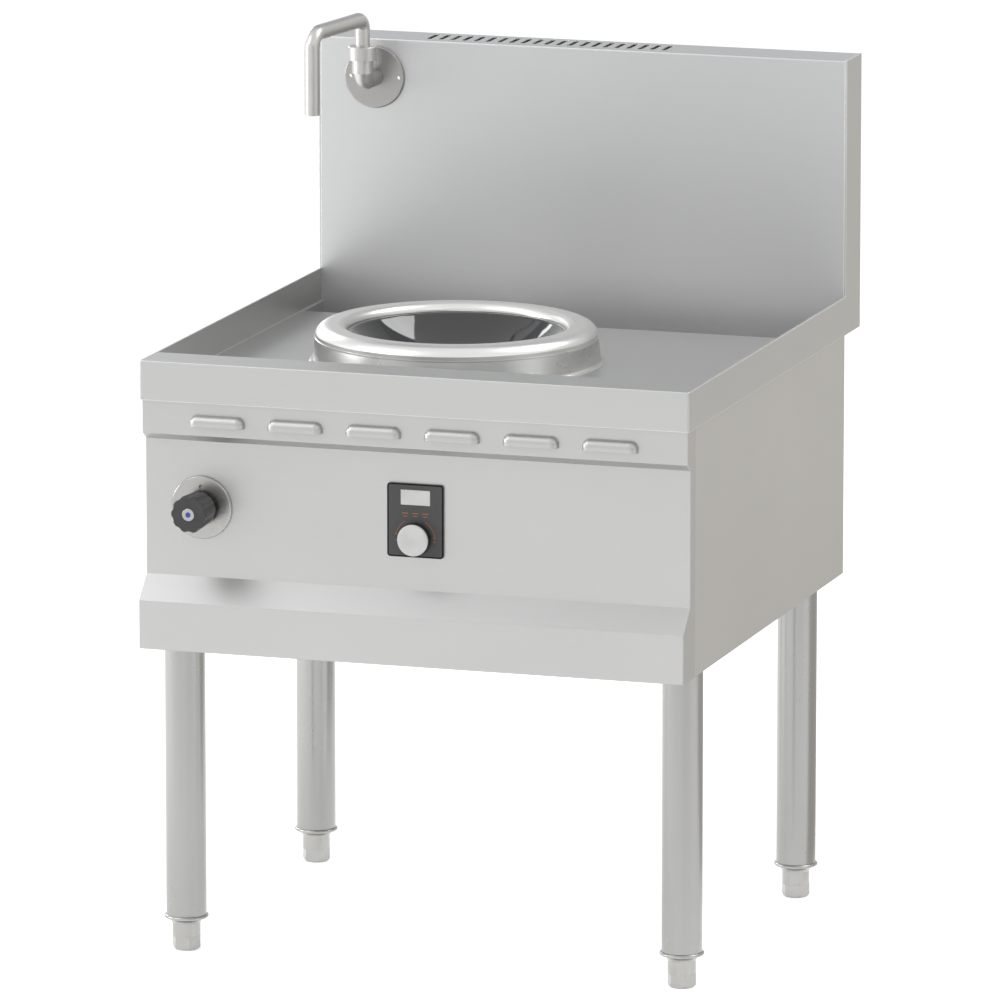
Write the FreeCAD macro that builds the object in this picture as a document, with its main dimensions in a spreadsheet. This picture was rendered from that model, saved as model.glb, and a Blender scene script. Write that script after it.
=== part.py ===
"""Wok range with an induction bowl, a swivel tap and a splashback.

Millimetres, +Z up. The origin is on the floor, under the middle of the range's
width and of its whole depth, from the handwheel's face to the splashback's back.
Every size is a cell of the sheet, and every sketch, feature and place is tied to
those cells. Pieces are drawn with y = 0 on the front face of the worktop's apron,
and a piece with its own axis is drawn round that axis.
"""
import FreeCAD, Part
import math
import os
import Sketcher

Vector = FreeCAD.Vector
Rotation = FreeCAD.Rotation
Placement = FreeCAD.Placement

document = FreeCAD.newDocument("WokRange")
sheet = document.addObject("Spreadsheet::Sheet", "Sizes")
sub_parts = []
next_row = [1]


# ---------------------------------------------------------------- sizes that stay live

class Size:
    """A number together with the sheet formula that gives it."""

    def __init__(self, number, formula):
        self.number = number
        self.formula = formula

    def __add__(self, other):
        other = as_size(other)
        return Size(self.number + other.number, "(%s + %s)" % (self.formula, other.formula))

    def __sub__(self, other):
        other = as_size(other)
        return Size(self.number - other.number, "(%s - %s)" % (self.formula, other.formula))

    def __mul__(self, other):
        other = as_size(other)
        return Size(self.number * other.number, "(%s * %s)" % (self.formula, other.formula))

    def __truediv__(self, other):
        other = as_size(other)
        return Size(self.number / other.number, "(%s / %s)" % (self.formula, other.formula))

    def __neg__(self):
        return Size(-self.number, "(0 - %s)" % self.formula)

    __radd__ = __add__

    def __rsub__(self, other):
        return as_size(other) - self

    def __rmul__(self, other):
        return self * other


def as_size(value):
    """Turns a plain number into a Size."""
    if isinstance(value, Size):
        return value
    return Size(float(value), "%.10g" % value)


def root(value):
    """Square root of a Size."""
    return Size(math.sqrt(value.number), "sqrt(%s)" % value.formula)


def tangent(degrees):
    """Tangent of an angle in degrees."""
    number = math.tan(math.radians(degrees.number))
    return Size(number, "tan(%s)" % degrees.formula)


def sine(degrees):
    """Sine of an angle in degrees."""
    number = math.sin(math.radians(degrees.number))
    return Size(number, "sin(%s)" % degrees.formula)


def cosine(degrees):
    """Cosine of an angle in degrees."""
    number = math.cos(math.radians(degrees.number))
    return Size(number, "cos(%s)" % degrees.formula)


def size(name, number):
    """Writes one driving dimension into the sheet and returns it."""
    row = next_row[0]
    next_row[0] = row + 1
    sheet.set("A%d" % row, name.replace("_", " "))
    sheet.set("B%d" % row, "%.10g" % number)
    sheet.setAlias("B%d" % row, name)
    return Size(float(number), "Sizes.%s" % name)


def bind(thing, path, value):
    """Ties a property of an object to a Size."""
    thing.setExpression(path, as_size(value).formula)


# ---------------------------------------------------------------- bodies and sketches

ZERO = as_size(0)


def new_body(label, x=ZERO, y=ZERO, z=ZERO):
    """A body whose own origin lies at x, y, z, with y measured from the apron."""
    body = document.addObject("PartDesign::Body", label)
    body.Label = label
    body.AllowCompound = True
    depth = as_size(y) - middle_y
    place = Vector(as_size(x).number, depth.number, as_size(z).number)
    body.Placement = Placement(place, Rotation())
    bind(body, "Placement.Base.x", x)
    bind(body, "Placement.Base.y", depth)
    bind(body, "Placement.Base.z", z)
    sub_parts.append(body)
    return body


def origin_part(body, role):
    """The origin plane or axis of a body with this role."""
    return [item for item in body.Origin.OriginFeatures if item.Role == role][0]


def sketch_on(body, plane, x=ZERO, y=ZERO, z=ZERO):
    """A sketch parallel to an origin plane, with its own origin at x, y, z.

    On XY the sketch runs along X and Y, on XZ along X and Z, on YZ along Y and Z.
    """
    sketch = body.newObject("Sketcher::SketchObject", "%s_%s" % (body.Name, plane))
    sketch.AttachmentSupport = (origin_part(body, plane + "_Plane"), [""])
    sketch.MapMode = "FlatFace"
    in_plane = {"XY": (x, y, z), "XZ": (x, z, -as_size(y)), "YZ": (y, z, x)}[plane]
    in_plane = [as_size(value) for value in in_plane]
    sketch.AttachmentOffset = Placement(Vector(*[value.number for value in in_plane]), Rotation())
    for axis, value in zip("xyz", in_plane):
        bind(sketch, "AttachmentOffset.Base." + axis, value)
    return sketch


def constrain(sketch, kind, items, value):
    """Adds one constraint whose value follows a Size."""
    value = as_size(value)
    index = sketch.addConstraint(Sketcher.Constraint(kind, *items, value.number))
    sketch.setExpression("Constraints[%d]" % index, value.formula)


def fix_point(sketch, item, end, x, y):
    """Holds one end of a sketch item at x, y."""
    constrain(sketch, "DistanceX", (-1, 1, item, end), x)
    constrain(sketch, "DistanceY", (-1, 1, item, end), y)


def circle(sketch, x, y, radius):
    """A circle round x, y."""
    x, y, radius = as_size(x), as_size(y), as_size(radius)
    centre = Vector(x.number, y.number, 0)
    item = sketch.addGeometry(Part.Circle(centre, Vector(0, 0, 1), radius.number), False)
    constrain(sketch, "Radius", (item,), radius)
    fix_point(sketch, item, 3, x, y)


class Corner:
    """A point of an outline, sharp or rounded, or reached along an arc."""

    def __init__(self, x, y, rounding=None, arc=None, turn=1):
        self.x = as_size(x)
        self.y = as_size(y)
        self.rounding = None if rounding is None else as_size(rounding)
        self.arc = None if arc is None else as_size(arc)
        self.turn = turn

    def point(self):
        return Vector(self.x.number, self.y.number, 0)


def corner(x, y, rounding=None):
    """A corner reached by a straight line."""
    return Corner(x, y, rounding)


def arc_to(x, y, radius, turn):
    """A corner reached along an arc; turn is 1 to the left and -1 to the right."""
    return Corner(x, y, None, radius, turn)


def rounding_ends(before, here, after):
    """Where a rounding of one corner leaves its two lines, and its centre."""
    point = here.point()
    back = (before.point() - point).normalize()
    ahead = (after.point() - point).normalize()
    half = back.getAngle(ahead) / 2
    radius = here.rounding.number
    reach = radius / math.tan(half)
    middle = (back + ahead).normalize()
    return point + back * reach, point + ahead * reach, point + middle * (radius / math.sin(half))


def add_arc(sketch, centre, radius, start, end, left):
    """Adds an arc from start to end and says which of its ends is the start."""
    first, last = (start, end) if left else (end, start)
    from_angle = math.atan2(first.y - centre.y, first.x - centre.x)
    to_angle = math.atan2(last.y - centre.y, last.x - centre.x)
    if to_angle < from_angle:
        to_angle += 2 * math.pi
    ring = Part.Circle(centre, Vector(0, 0, 1), radius)
    item = sketch.addGeometry(Part.ArcOfCircle(ring, from_angle, to_angle), False)
    return (item, 1, 2) if left else (item, 2, 1)


def arc_centre(start, end, radius, turn):
    """Centre of the shorter arc from start to end."""
    chord = end - start
    side = Vector(-chord.y, chord.x, 0).normalize() * turn
    rise = math.sqrt(max(radius * radius - chord.Length * chord.Length / 4, 0))
    return (start + end) * 0.5 + side * rise


def outline(sketch, corners, closed=True):
    """Draws lines and arcs through the corners, each held by its own sizes."""
    count = len(corners)
    ends = []
    for index, here in enumerate(corners):
        start, finish, centre = here.point(), here.point(), None
        if here.rounding is not None:
            before = corners[index - 1]
            after = corners[(index + 1) % count]
            start, finish, centre = rounding_ends(before, here, after)
        ends.append((start, finish, centre))
    pieces = []
    for index in range(count if closed else count - 1):
        target = (index + 1) % count
        start = ends[index][1]
        end = ends[target][0]
        goal = corners[target]
        if goal.arc is None:
            line = sketch.addGeometry(Part.LineSegment(start, end), False)
            pieces.append((line, 1, 2))
        else:
            centre = arc_centre(start, end, goal.arc.number, goal.turn)
            pieces.append(add_arc(sketch, centre, goal.arc.number, start, end, goal.turn > 0))
            constrain(sketch, "Radius", (pieces[-1][0],), goal.arc)
    for index, here in enumerate(corners):
        has_before = closed or index > 0
        has_after = closed or index < count - 1
        into = pieces[index - 1] if has_before else None
        out = pieces[index] if has_after else None
        if here.rounding is None:
            if into and out:
                join = Sketcher.Constraint("Coincident", into[0], into[2], out[0], out[1])
                sketch.addConstraint(join)
            held = out if out else into
            fix_point(sketch, held[0], held[1] if out else held[2], here.x, here.y)
            continue
        start, finish, centre = ends[index]
        left = (start - centre).cross(finish - centre).z > 0
        bend = add_arc(sketch, centre, here.rounding.number, start, finish, left)
        peg = sketch.addGeometry(Part.Point(here.point()), True)
        fix_point(sketch, peg, 1, here.x, here.y)
        constrain(sketch, "Radius", (bend[0],), here.rounding)
        for kind, items in (
            ("PointOnObject", (peg, 1, into[0])),
            ("PointOnObject", (peg, 1, out[0])),
            ("Tangent", (into[0], into[2], bend[0], bend[1])),
            ("Tangent", (out[0], out[1], bend[0], bend[2])),
        ):
            sketch.addConstraint(Sketcher.Constraint(kind, *items))


def rectangle(sketch, x_low, x_high, y_low, y_high, rounding=None):
    """A rectangle, with its corners rounded if a radius is given."""
    outline(sketch, [
        corner(x_low, y_low, rounding),
        corner(x_high, y_low, rounding),
        corner(x_high, y_high, rounding),
        corner(x_low, y_high, rounding),
    ])


# ---------------------------------------------------------------- features

def feature(body, kind, name, sketch=None):
    """Adds a feature to a body and makes it the tip."""
    made = body.newObject("PartDesign::" + kind, "%s_%s" % (body.Name, name))
    if sketch is not None:
        made.Profile = sketch
        sketch.Visibility = False
    body.Tip = made
    return made


def pad(body, name, sketch, length, backwards=False, both_ways=False):
    """Raises a sketch along its normal, which is -Y on the XZ plane."""
    made = feature(body, "Pad", name, sketch)
    bind(made, "Length", length)
    made.Reversed = backwards
    if both_ways:
        made.SideType = "Symmetric"
    return made


def pocket(body, name, sketch, length, backwards=False, both_ways=False):
    """Cuts a sketch against its normal, or along it when backwards."""
    made = feature(body, "Pocket", name, sketch)
    bind(made, "Length", length)
    made.Reversed = backwards
    if both_ways:
        made.SideType = "Symmetric"
    return made


def turned(body, name, sketch, axis="V_Axis", angle=360, backwards=False):
    """Revolves a sketch about one of its own axes."""
    made = feature(body, "Revolution", name, sketch)
    made.ReferenceAxis = (sketch, [axis])
    made.Angle = angle
    made.Reversed = backwards
    return made


def turned_cut(body, name, sketch, axis="V_Axis", angle=360, backwards=False):
    """Cuts the shape that a sketch sweeps about one of its own axes."""
    made = feature(body, "Groove", name, sketch)
    made.ReferenceAxis = (sketch, [axis])
    made.Angle = angle
    made.Reversed = backwards
    return made


def sweep(body, name, ring, route):
    """Sweeps a section along an open route."""
    made = feature(body, "AdditivePipe", name, ring)
    made.Spine = (route, [""])
    made.Transition = "Right corner"
    route.Visibility = False
    return made


def in_line(body, name, originals, axis, pitch, count):
    """Repeats features along an origin axis of the body."""
    made = feature(body, "LinearPattern", name)
    made.Originals = originals
    made.Direction = (origin_part(body, axis + "_Axis"), [""])
    made.Occurrences = int(as_size(count).number)
    bind(made, "Occurrences", count)
    bind(made, "Length", pitch * (as_size(count) - 1))
    return made


def in_circle(body, name, originals, axis, count):
    """Repeats features round an origin axis of the body."""
    made = feature(body, "PolarPattern", name)
    made.Originals = originals
    made.Axis = (origin_part(body, axis + "_Axis"), [""])
    made.Angle = 360
    made.Occurrences = int(as_size(count).number)
    bind(made, "Occurrences", count)
    return made


def mirrored(body, name, originals, plane="YZ"):
    """Mirrors features in an origin plane of the body."""
    made = feature(body, "Mirrored", name)
    made.Originals = originals
    made.MirrorPlane = (origin_part(body, plane + "_Plane"), [""])
    return made


def rounded_edges(body, name, radius, wanted):
    """Rounds the edges of the tip that the test picks by their middle and ends."""
    base = body.Tip
    document.recompute()
    picked = []
    for number, edge in enumerate(base.Shape.Edges, 1):
        middle = edge.valueAt((edge.FirstParameter + edge.LastParameter) / 2)
        box = edge.BoundBox
        if wanted(middle, box):
            picked.append("Edge%d" % number)
    made = feature(body, "Fillet", name)
    made.Base = (base, picked)
    bind(made, "Radius", radius)
    return made


def near(value, goal):
    """Whether a coordinate lies on a Size."""
    return abs(value - as_size(goal).number) < 0.01


# ---------------------------------------------------------------- driving sizes

width = size("width", 800)
rim_height = size("rim_height", 860)
apron_height = size("apron_height", 56)
splash_rise = size("splash_rise", 344)
splash_lap = size("splash_lap", 5.6)
splash_depth = size("splash_depth", 76)
rim_sheet = size("rim_sheet", 3)
top_sheet = size("top_sheet", 2)
top_bend = size("top_bend", 3)
front_ledge = size("front_ledge", 70)
deck_drop = size("deck_drop", 48)
gutter_width = size("gutter_width", 90)
gutter_drop = size("gutter_drop", 42)
splash_sheet = size("splash_sheet", 1.5)
drain_inset = size("drain_inset", 157)
drain_radius = size("drain_radius", 22)
drain_spigot_radius = size("drain_spigot_radius", 20)
drain_flange_radius = size("drain_flange_radius", 32)
drain_reach = size("drain_reach", 30)
drain_rim = size("drain_rim", 1.2)
drain_step = size("drain_step", 2)
strainer_lap = size("strainer_lap", 5)
strainer_rise = size("strainer_rise", 3)
strainer_sheet = size("strainer_sheet", 1)
strainer_skirt = size("strainer_skirt", 8)
strainer_hole_ring = size("strainer_hole_ring", 11)
strainer_hole_radius = size("strainer_hole_radius", 2.5)
strainer_hole_count = size("strainer_hole_count", 8)

case_sheet = size("case_sheet", 1.5)
case_inset = size("case_inset", 2.5)
case_depth = size("case_depth", 788)
kick_height = size("kick_height", 69)
strip_face = size("strip_face", 4)
strip_height = size("strip_height", 47)
strip_step = size("strip_step", 13.4)
strip_angle = size("strip_angle", 54)
panel_height = size("panel_height", 192.7)
kick_reach = size("kick_reach", 32.6)
kick_angle = size("kick_angle", 45)
side_wrap = size("side_wrap", 40)
case_bend = size("case_bend", 1.4)
fold_flange = size("fold_flange", 18)
vent_count = size("vent_count", 9)
vent_pitch = size("vent_pitch", 14)
vent_length = size("vent_length", 160)
vent_width = size("vent_width", 5)
screw_radius = size("screw_radius", 4)
screw_count = size("screw_count", 4)
screw_height = size("screw_height", 2.2)

frame_width = size("frame_width", 40)
frame_sheet = size("frame_sheet", 3)
gusset = size("gusset", 75)
leg_radius = size("leg_radius", 28.6)
leg_wall = size("leg_wall", 1.5)
leg_inset = size("leg_inset", 34)
leg_front = size("leg_front", 88)
leg_setback = size("leg_setback", 129.5)
spigot_length = size("spigot_length", 45)
foot_height = size("foot_height", 51)
foot_flange_radius = size("foot_flange_radius", 31.7)
foot_barrel_radius = size("foot_barrel_radius", 20)
foot_hex = size("foot_hex", 36)
hex_half_angle = size("hex_half_angle", 30)
foot_hex_height = size("foot_hex_height", 20)
foot_bevel = size("foot_bevel", 4)
foot_flange_height = size("foot_flange_height", 5)
foot_dome_height = size("foot_dome_height", 8)
foot_bead = size("foot_bead", 2)
sleeve_length = size("sleeve_length", 30)
stud_radius = size("stud_radius", 8)
stud_length = size("stud_length", 60)
leg_nut_height = size("leg_nut_height", 20)
foot_travel = size("foot_travel", 25)
running_gap = size("running_gap", 0.05)
fit_gap = size("fit_gap", 0.3)

bowl_centre_x = size("bowl_centre_x", -59)
bowl_centre_y = size("bowl_centre_y", 382)
collar_flare = size("collar_flare", 8)
collar_ledge = size("collar_ledge", 1.4)
collar_height = size("collar_height", 35.5)
collar_foot_height = size("collar_foot_height", 5)
collar_foot_run = size("collar_foot_run", 5)
collar_foot_curve = size("collar_foot_curve", 8)
collar_lip = size("collar_lip", 1)
ring_side = size("ring_side", 18.6)
ring_shoulder = size("ring_shoulder", 5.5)
ring_flat = size("ring_flat", 14)
ring_overlap = size("ring_overlap", 3)
ring_height = size("ring_height", 18.5)
ring_lip = size("ring_lip", 11.5)
ring_wall = size("ring_wall", 6)
glass_sheet = size("glass_sheet", 5)
glass_flange = size("glass_flange", 15)
bowl_radius = size("bowl_radius", 150)
bowl_depth = size("bowl_depth", 72)
seal_width = size("seal_width", 7)
seal_height = size("seal_height", 1.5)
coil_gap = size("coil_gap", 3)
coil_sheet = size("coil_sheet", 5)
carrier_sheet = size("carrier_sheet", 4)
carrier_inset = size("carrier_inset", 20)
carrier_hole = size("carrier_hole", 12)
coil_inner = size("coil_inner", 30)
coil_inset = size("coil_inset", 10)
stud_post_radius = size("stud_post_radius", 4)
stud_count = size("stud_count", 4)
bar_inset = size("bar_inset", 6)
bar_reach = size("bar_reach", 32)
bar_height = size("bar_height", 8)
bar_width = size("bar_width", 15)
sensor_radius = size("sensor_radius", 7)
sensor_flange = size("sensor_flange", 20)
sensor_sheet = size("sensor_sheet", 4)
ferrite_count = size("ferrite_count", 8)

louvre_count = size("louvre_count", 6)
louvre_pitch = size("louvre_pitch", 114.5)
louvre_length = size("louvre_length", 80.5)
louvre_height = size("louvre_height", 16)
louvre_reach = size("louvre_reach", 11)
louvre_top_gap = size("louvre_top_gap", 17)

slot_count = size("slot_count", 21)
slot_pitch = size("slot_pitch", 17.8)
slot_width = size("slot_width", 8)
slot_length = size("slot_length", 46)
slot_rounding = size("slot_rounding", 0.45)
duct_margin = size("duct_margin", 8)
duct_drop = size("duct_drop", 210)
duct_depth = size("duct_depth", 60)

tap_inset = size("tap_inset", 86)
tap_drop = size("tap_drop", 57)
tap_reach = size("tap_reach", 57)
tap_plate_radius = size("tap_plate_radius", 45.5)
tap_plate_sheet = size("tap_plate_sheet", 4)
tap_hole_spacing = size("tap_hole_spacing", 73.6)
tap_hole_radius = size("tap_hole_radius", 2.8)
elbow_radius = size("elbow_radius", 13)
elbow_bend = size("elbow_bend", 22)
elbow_bore = size("elbow_bore", 9)
socket_radius = size("socket_radius", 15.5)
socket_start = size("socket_start", 14)
socket_end = size("socket_end", 44)
seat_depth = size("seat_depth", 26)
pipe_joint = size("pipe_joint", 2)
spout_insert = size("spout_insert", 6)
nut_radius = size("nut_radius", 21)
nut_start = size("nut_start", 33.5)
nut_height = size("nut_height", 20)
nut_shelf = size("nut_shelf", 4)
nut_bevel = size("nut_bevel", 3)
nut_edge = size("nut_edge", 1)
spout_radius = size("spout_radius", 11)
spout_wall = size("spout_wall", 1.5)
spout_back_bend = size("spout_back_bend", 15)
spout_front_bend = size("spout_front_bend", 22)
spout_rise = size("spout_rise", 92.7)
spout_length = size("spout_length", 162)
spout_drop = size("spout_drop", 117.4)
spout_rest = size("spout_rest", -8)

valve_drop = size("valve_drop", 93.7)
rose_radius = size("rose_radius", 44.5)
rose_thickness = size("rose_thickness", 5)
rose_hole_rise = size("rose_hole_rise", 29)
rose_hole_radius = size("rose_hole_radius", 3.2)
wheel_radius = size("wheel_radius", 26.5)
wheel_depth = size("wheel_depth", 44)
wheel_reach = size("wheel_reach", 58)
wheel_cap_radius = size("wheel_cap_radius", 9)
wheel_cap_height = size("wheel_cap_height", 2)
lobe_count = size("lobe_count", 10)
scallop_radius = size("scallop_radius", 9)
scallop_depth = size("scallop_depth", 2.8)
spindle_radius = size("spindle_radius", 5)
valve_depth = size("valve_depth", 60)
valve_nut_radius = size("valve_nut_radius", 18)
valve_nut_end = size("valve_nut_end", 18)
barrel_radius = size("barrel_radius", 15)
barrel_rounding = size("barrel_rounding", 3)
spindle_end_gap = size("spindle_end_gap", 1)
wheel_front = size("wheel_front", 4)
wheel_boss = size("wheel_boss", 12)
wheel_cup_gap = size("wheel_cup_gap", 2)
wheel_back_bevel = size("wheel_back_bevel", 2)
wheel_rounding = size("wheel_rounding", 3)
port_inset = size("port_inset", 18)
port_reach = size("port_reach", 30)
neck_radius = size("neck_radius", 11)
pipe_radius = size("pipe_radius", 8)
pipe_wall = size("pipe_wall", 1)
pipe_bend = size("pipe_bend", 32)
riser_gap = size("riser_gap", 34.5)
riser_drop = size("riser_drop", 88)
inlet_rise = size("inlet_rise", 67)
inlet_radius = size("inlet_radius", 10.4)
inlet_reach = size("inlet_reach", 14)
inlet_collar = size("inlet_collar", 3)
inlet_nut_length = size("inlet_nut_length", 20)
inlet_wall = size("inlet_wall", 4.6)

bezel_width = size("bezel_width", 82)
bezel_height = size("bezel_height", 104)
bezel_drop = size("bezel_drop", 93.5)
bezel_thickness = size("bezel_thickness", 3)
bezel_rounding = size("bezel_rounding", 5)
bezel_lap = size("bezel_lap", 7)
window_width = size("window_width", 43)
window_height = size("window_height", 21.5)
window_rise = size("window_rise", 32.4)
window_sheet = size("window_sheet", 1.2)
window_rounding = size("window_rounding", 1)
knob_drop = size("knob_drop", 25.8)
knob_radius = size("knob_radius", 23)
knob_height = size("knob_height", 14)
knob_cap_radius = size("knob_cap_radius", 22.3)
knob_cap_height = size("knob_cap_height", 3)
knob_dish_radius = size("knob_dish_radius", 17)
knob_dish_depth = size("knob_dish_depth", 1.6)
knob_shaft_radius = size("knob_shaft_radius", 3)
board_depth = size("board_depth", 14)
board_sheet = size("board_sheet", 1.6)
board_rounding = size("board_rounding", 2)
bezel_wall = size("bezel_wall", 2)
bush_wall = size("bush_wall", 2)
encoder_radius = size("encoder_radius", 9)
encoder_depth = size("encoder_depth", 12)
encoder_bore_end = size("encoder_bore_end", 8)
knob_boss = size("knob_boss", 6)
shaft_end_gap = size("shaft_end_gap", 1)

module_width = size("module_width", 260)
module_length = size("module_length", 300)
module_height = size("module_height", 120)
module_x = size("module_x", 160)
module_y = size("module_y", 400)
module_rounding = size("module_rounding", 6)
fin_count = size("fin_count", 12)
fin_pitch = size("fin_pitch", 22)
fin_height = size("fin_height", 12)
fin_sheet = size("fin_sheet", 2)
fin_margin = size("fin_margin", 8)
fan_size = size("fan_size", 120)
fan_depth = size("fan_depth", 38)
fan_x = size("fan_x", -190)
fan_y = size("fan_y", 330)
fan_hub_radius = size("fan_hub_radius", 20)
fan_tip_gap = size("fan_tip_gap", 2)
fan_rounding = size("fan_rounding", 5)
fan_wall = size("fan_wall", 4)
spoke_width = size("spoke_width", 5)
spoke_height = size("spoke_height", 4)
spoke_count = size("spoke_count", 4)
fan_bearing = size("fan_bearing", 6)
fan_shaft_radius = size("fan_shaft_radius", 2)
fan_end_gap = size("fan_end_gap", 1)
fan_hub_rounding = size("fan_hub_rounding", 3)
blade_rake = size("blade_rake", 23)
blade_sheet = size("blade_sheet", 2)
blade_foot = size("blade_foot", 8)
blade_margin = size("blade_margin", 6)
blade_lead = size("blade_lead", 12)
blade_count = size("blade_count", 7)
gland_inset = size("gland_inset", 100)
gland_rise = size("gland_rise", 57)
gland_radius = size("gland_radius", 12)
gland_bore = size("gland_bore", 7)
gland_inner = size("gland_inner", 14)
gland_flange_radius = size("gland_flange_radius", 17)
gland_flange = size("gland_flange", 8)
gland_step = size("gland_step", 1)
gland_cap_radius = size("gland_cap_radius", 15)
gland_outer = size("gland_outer", 20)
gland_rounding = size("gland_rounding", 3)

# ---------------------------------------------------------------- sizes that follow

half_width = width / 2
inner_width = half_width - rim_sheet
panel_face = strip_face + strip_step
wheel_face = panel_face - wheel_reach - wheel_cap_height
splash_front = case_depth - splash_lap
splash_back = splash_front + splash_depth
middle_y = (wheel_face + splash_back) / 2
apron_bottom = rim_height - apron_height
splash_top = rim_height + splash_rise
deck_top = rim_height - deck_drop
gutter_top = deck_top - gutter_drop
gutter_front = splash_front - gutter_width
drain_x = half_width - drain_inset
drain_y = (gutter_front + splash_front) / 2
case_half = half_width - case_inset
strip_bottom = apron_bottom - strip_height
panel_top = strip_bottom - strip_step / tangent(strip_angle)
slope_top = panel_top - panel_height
kick_face = panel_face - kick_reach
kick_top = slope_top - kick_reach / tangent(kick_angle)
case_bottom = kick_top - kick_height
floor_top = case_bottom + case_sheet * 2
rear_face = case_depth + case_sheet
duct_bottom = rim_height - duct_drop
leg_spread = half_width - leg_inset
leg_rear = case_depth - leg_setback
glass_radius = bowl_radius + glass_flange
ring_crest_radius = glass_radius + ring_overlap
ring_top_radius = ring_crest_radius + ring_flat
ring_radius = ring_top_radius + ring_side
collar_radius = ring_radius + collar_ledge
collar_foot_radius = collar_radius + collar_flare
collar_top = deck_top + collar_height
glass_top = seal_height + glass_sheet
bowl_curve = (bowl_radius * bowl_radius + bowl_depth * bowl_depth) / (2 * bowl_depth)
bowl_middle = glass_top - bowl_depth + bowl_curve
glass_curve = bowl_curve + glass_sheet
carrier_curve = glass_curve + coil_gap + coil_sheet
carrier_rim = bowl_radius - carrier_inset
coil_outer = carrier_rim - coil_inset
bar_middle = carrier_rim - bar_inset - bar_reach
carrier_top = bowl_middle - root(carrier_curve * carrier_curve - carrier_rim * carrier_rim)
louvre_bottom = apron_bottom - louvre_top_gap - louvre_height
spigot_radius = leg_radius - leg_wall - fit_gap
tap_x = tap_inset - half_width
tap_height = splash_top - tap_drop
valve_height = panel_top - valve_drop
wheel_back = wheel_reach - wheel_depth
marker_radius = wheel_cap_radius * 0.42
bush_radius = knob_shaft_radius + bush_wall
bezel_centre = panel_top - bezel_drop
knob_axis_height = bezel_centre - knob_drop
duct_half = slot_pitch * (slot_count - 1) / 2 + slot_width / 2 + duct_margin
gutter_half = case_half - case_sheet - fit_gap - top_sheet
port_y = panel_face + valve_depth - port_inset
riser_y = rear_face + riser_gap
riser_turn = apron_bottom - riser_drop
inlet_height = case_bottom + inlet_rise
gland_x = half_width - gland_inset
gland_height = case_bottom + gland_rise


# ---------------------------------------------------------------- worktop and splashback

def make_worktop():
    """Apron, side rims, sunken deck and rear gutter, with the splashback's cheeks."""
    body = new_body("worktop")
    rim = sketch_on(body, "XY", z=apron_bottom)
    outline(rim, [
        corner(-half_width, ZERO, top_bend),
        corner(half_width, ZERO, top_bend),
        corner(half_width, splash_back),
        corner(inner_width, splash_back),
        corner(inner_width, top_sheet),
        corner(-inner_width, top_sheet),
        corner(-inner_width, splash_back),
        corner(-half_width, splash_back),
    ])
    pad(body, "rim", rim, apron_height)
    pan = sketch_on(body, "YZ")
    under = top_sheet
    tight = top_bend - top_sheet
    outline(pan, [
        corner(top_sheet / 2, rim_height),
        corner(front_ledge, rim_height, top_bend),
        corner(front_ledge, deck_top, top_bend),
        corner(gutter_front, deck_top, top_bend),
        corner(gutter_front, gutter_top, top_bend),
        corner(splash_front, gutter_top),
        corner(splash_front, gutter_top - under),
        corner(gutter_front - under, gutter_top - under, top_bend + under),
        corner(gutter_front - under, deck_top - under, tight),
        corner(front_ledge - under, deck_top - under, top_bend + under),
        corner(front_ledge - under, rim_height - under, tight),
        corner(top_sheet / 2, rim_height - under),
    ])
    pad(body, "pan", pan, 2 * inner_width + rim_sheet, both_ways=True)
    cheek = sketch_on(body, "YZ", x=inner_width)
    rectangle(cheek, splash_front, splash_back, apron_bottom, splash_top)
    cheek_pad = pad(body, "cheek", cheek, rim_sheet)
    trim = sketch_on(body, "YZ", x=gutter_half + top_sheet)
    rectangle(trim, gutter_front - 3 * under, splash_front + under,
              gutter_top - 3 * under, apron_bottom)
    trim_cut = pocket(body, "gutter_trim", trim, rim_sheet + top_sheet, backwards=True)
    dam = sketch_on(body, "YZ", x=gutter_half)
    rectangle(dam, gutter_front - under, splash_front, gutter_top - under, deck_top)
    dam_pad = pad(body, "gutter_end", dam, top_sheet)
    ledge = sketch_on(body, "YZ", x=gutter_half)
    rectangle(ledge, gutter_front - under, splash_front, deck_top - under, deck_top)
    ledge_pad = pad(body, "gutter_ledge", ledge, half_width - gutter_half - top_sheet / 2)
    mirrored(body, "sides", [cheek_pad, trim_cut, dam_pad, ledge_pad])
    holes = sketch_on(body, "XY", z=deck_top)
    circle(holes, bowl_centre_x, bowl_centre_y, collar_radius)
    pocket(body, "bowl_hole", holes, 3 * top_sheet, both_ways=True)
    drain = sketch_on(body, "XY", z=gutter_top)
    circle(drain, drain_x, drain_y, drain_radius + fit_gap)
    pocket(body, "drain_hole", drain, 3 * top_sheet, both_ways=True)
    rounded_edges(body, "rim_edges", top_sheet / 2, lambda middle, box: (
        near(box.ZMin, rim_height) and near(box.ZMax, rim_height)
        and (near(abs(middle.x), half_width) or middle.y < top_bend.number)))


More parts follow.
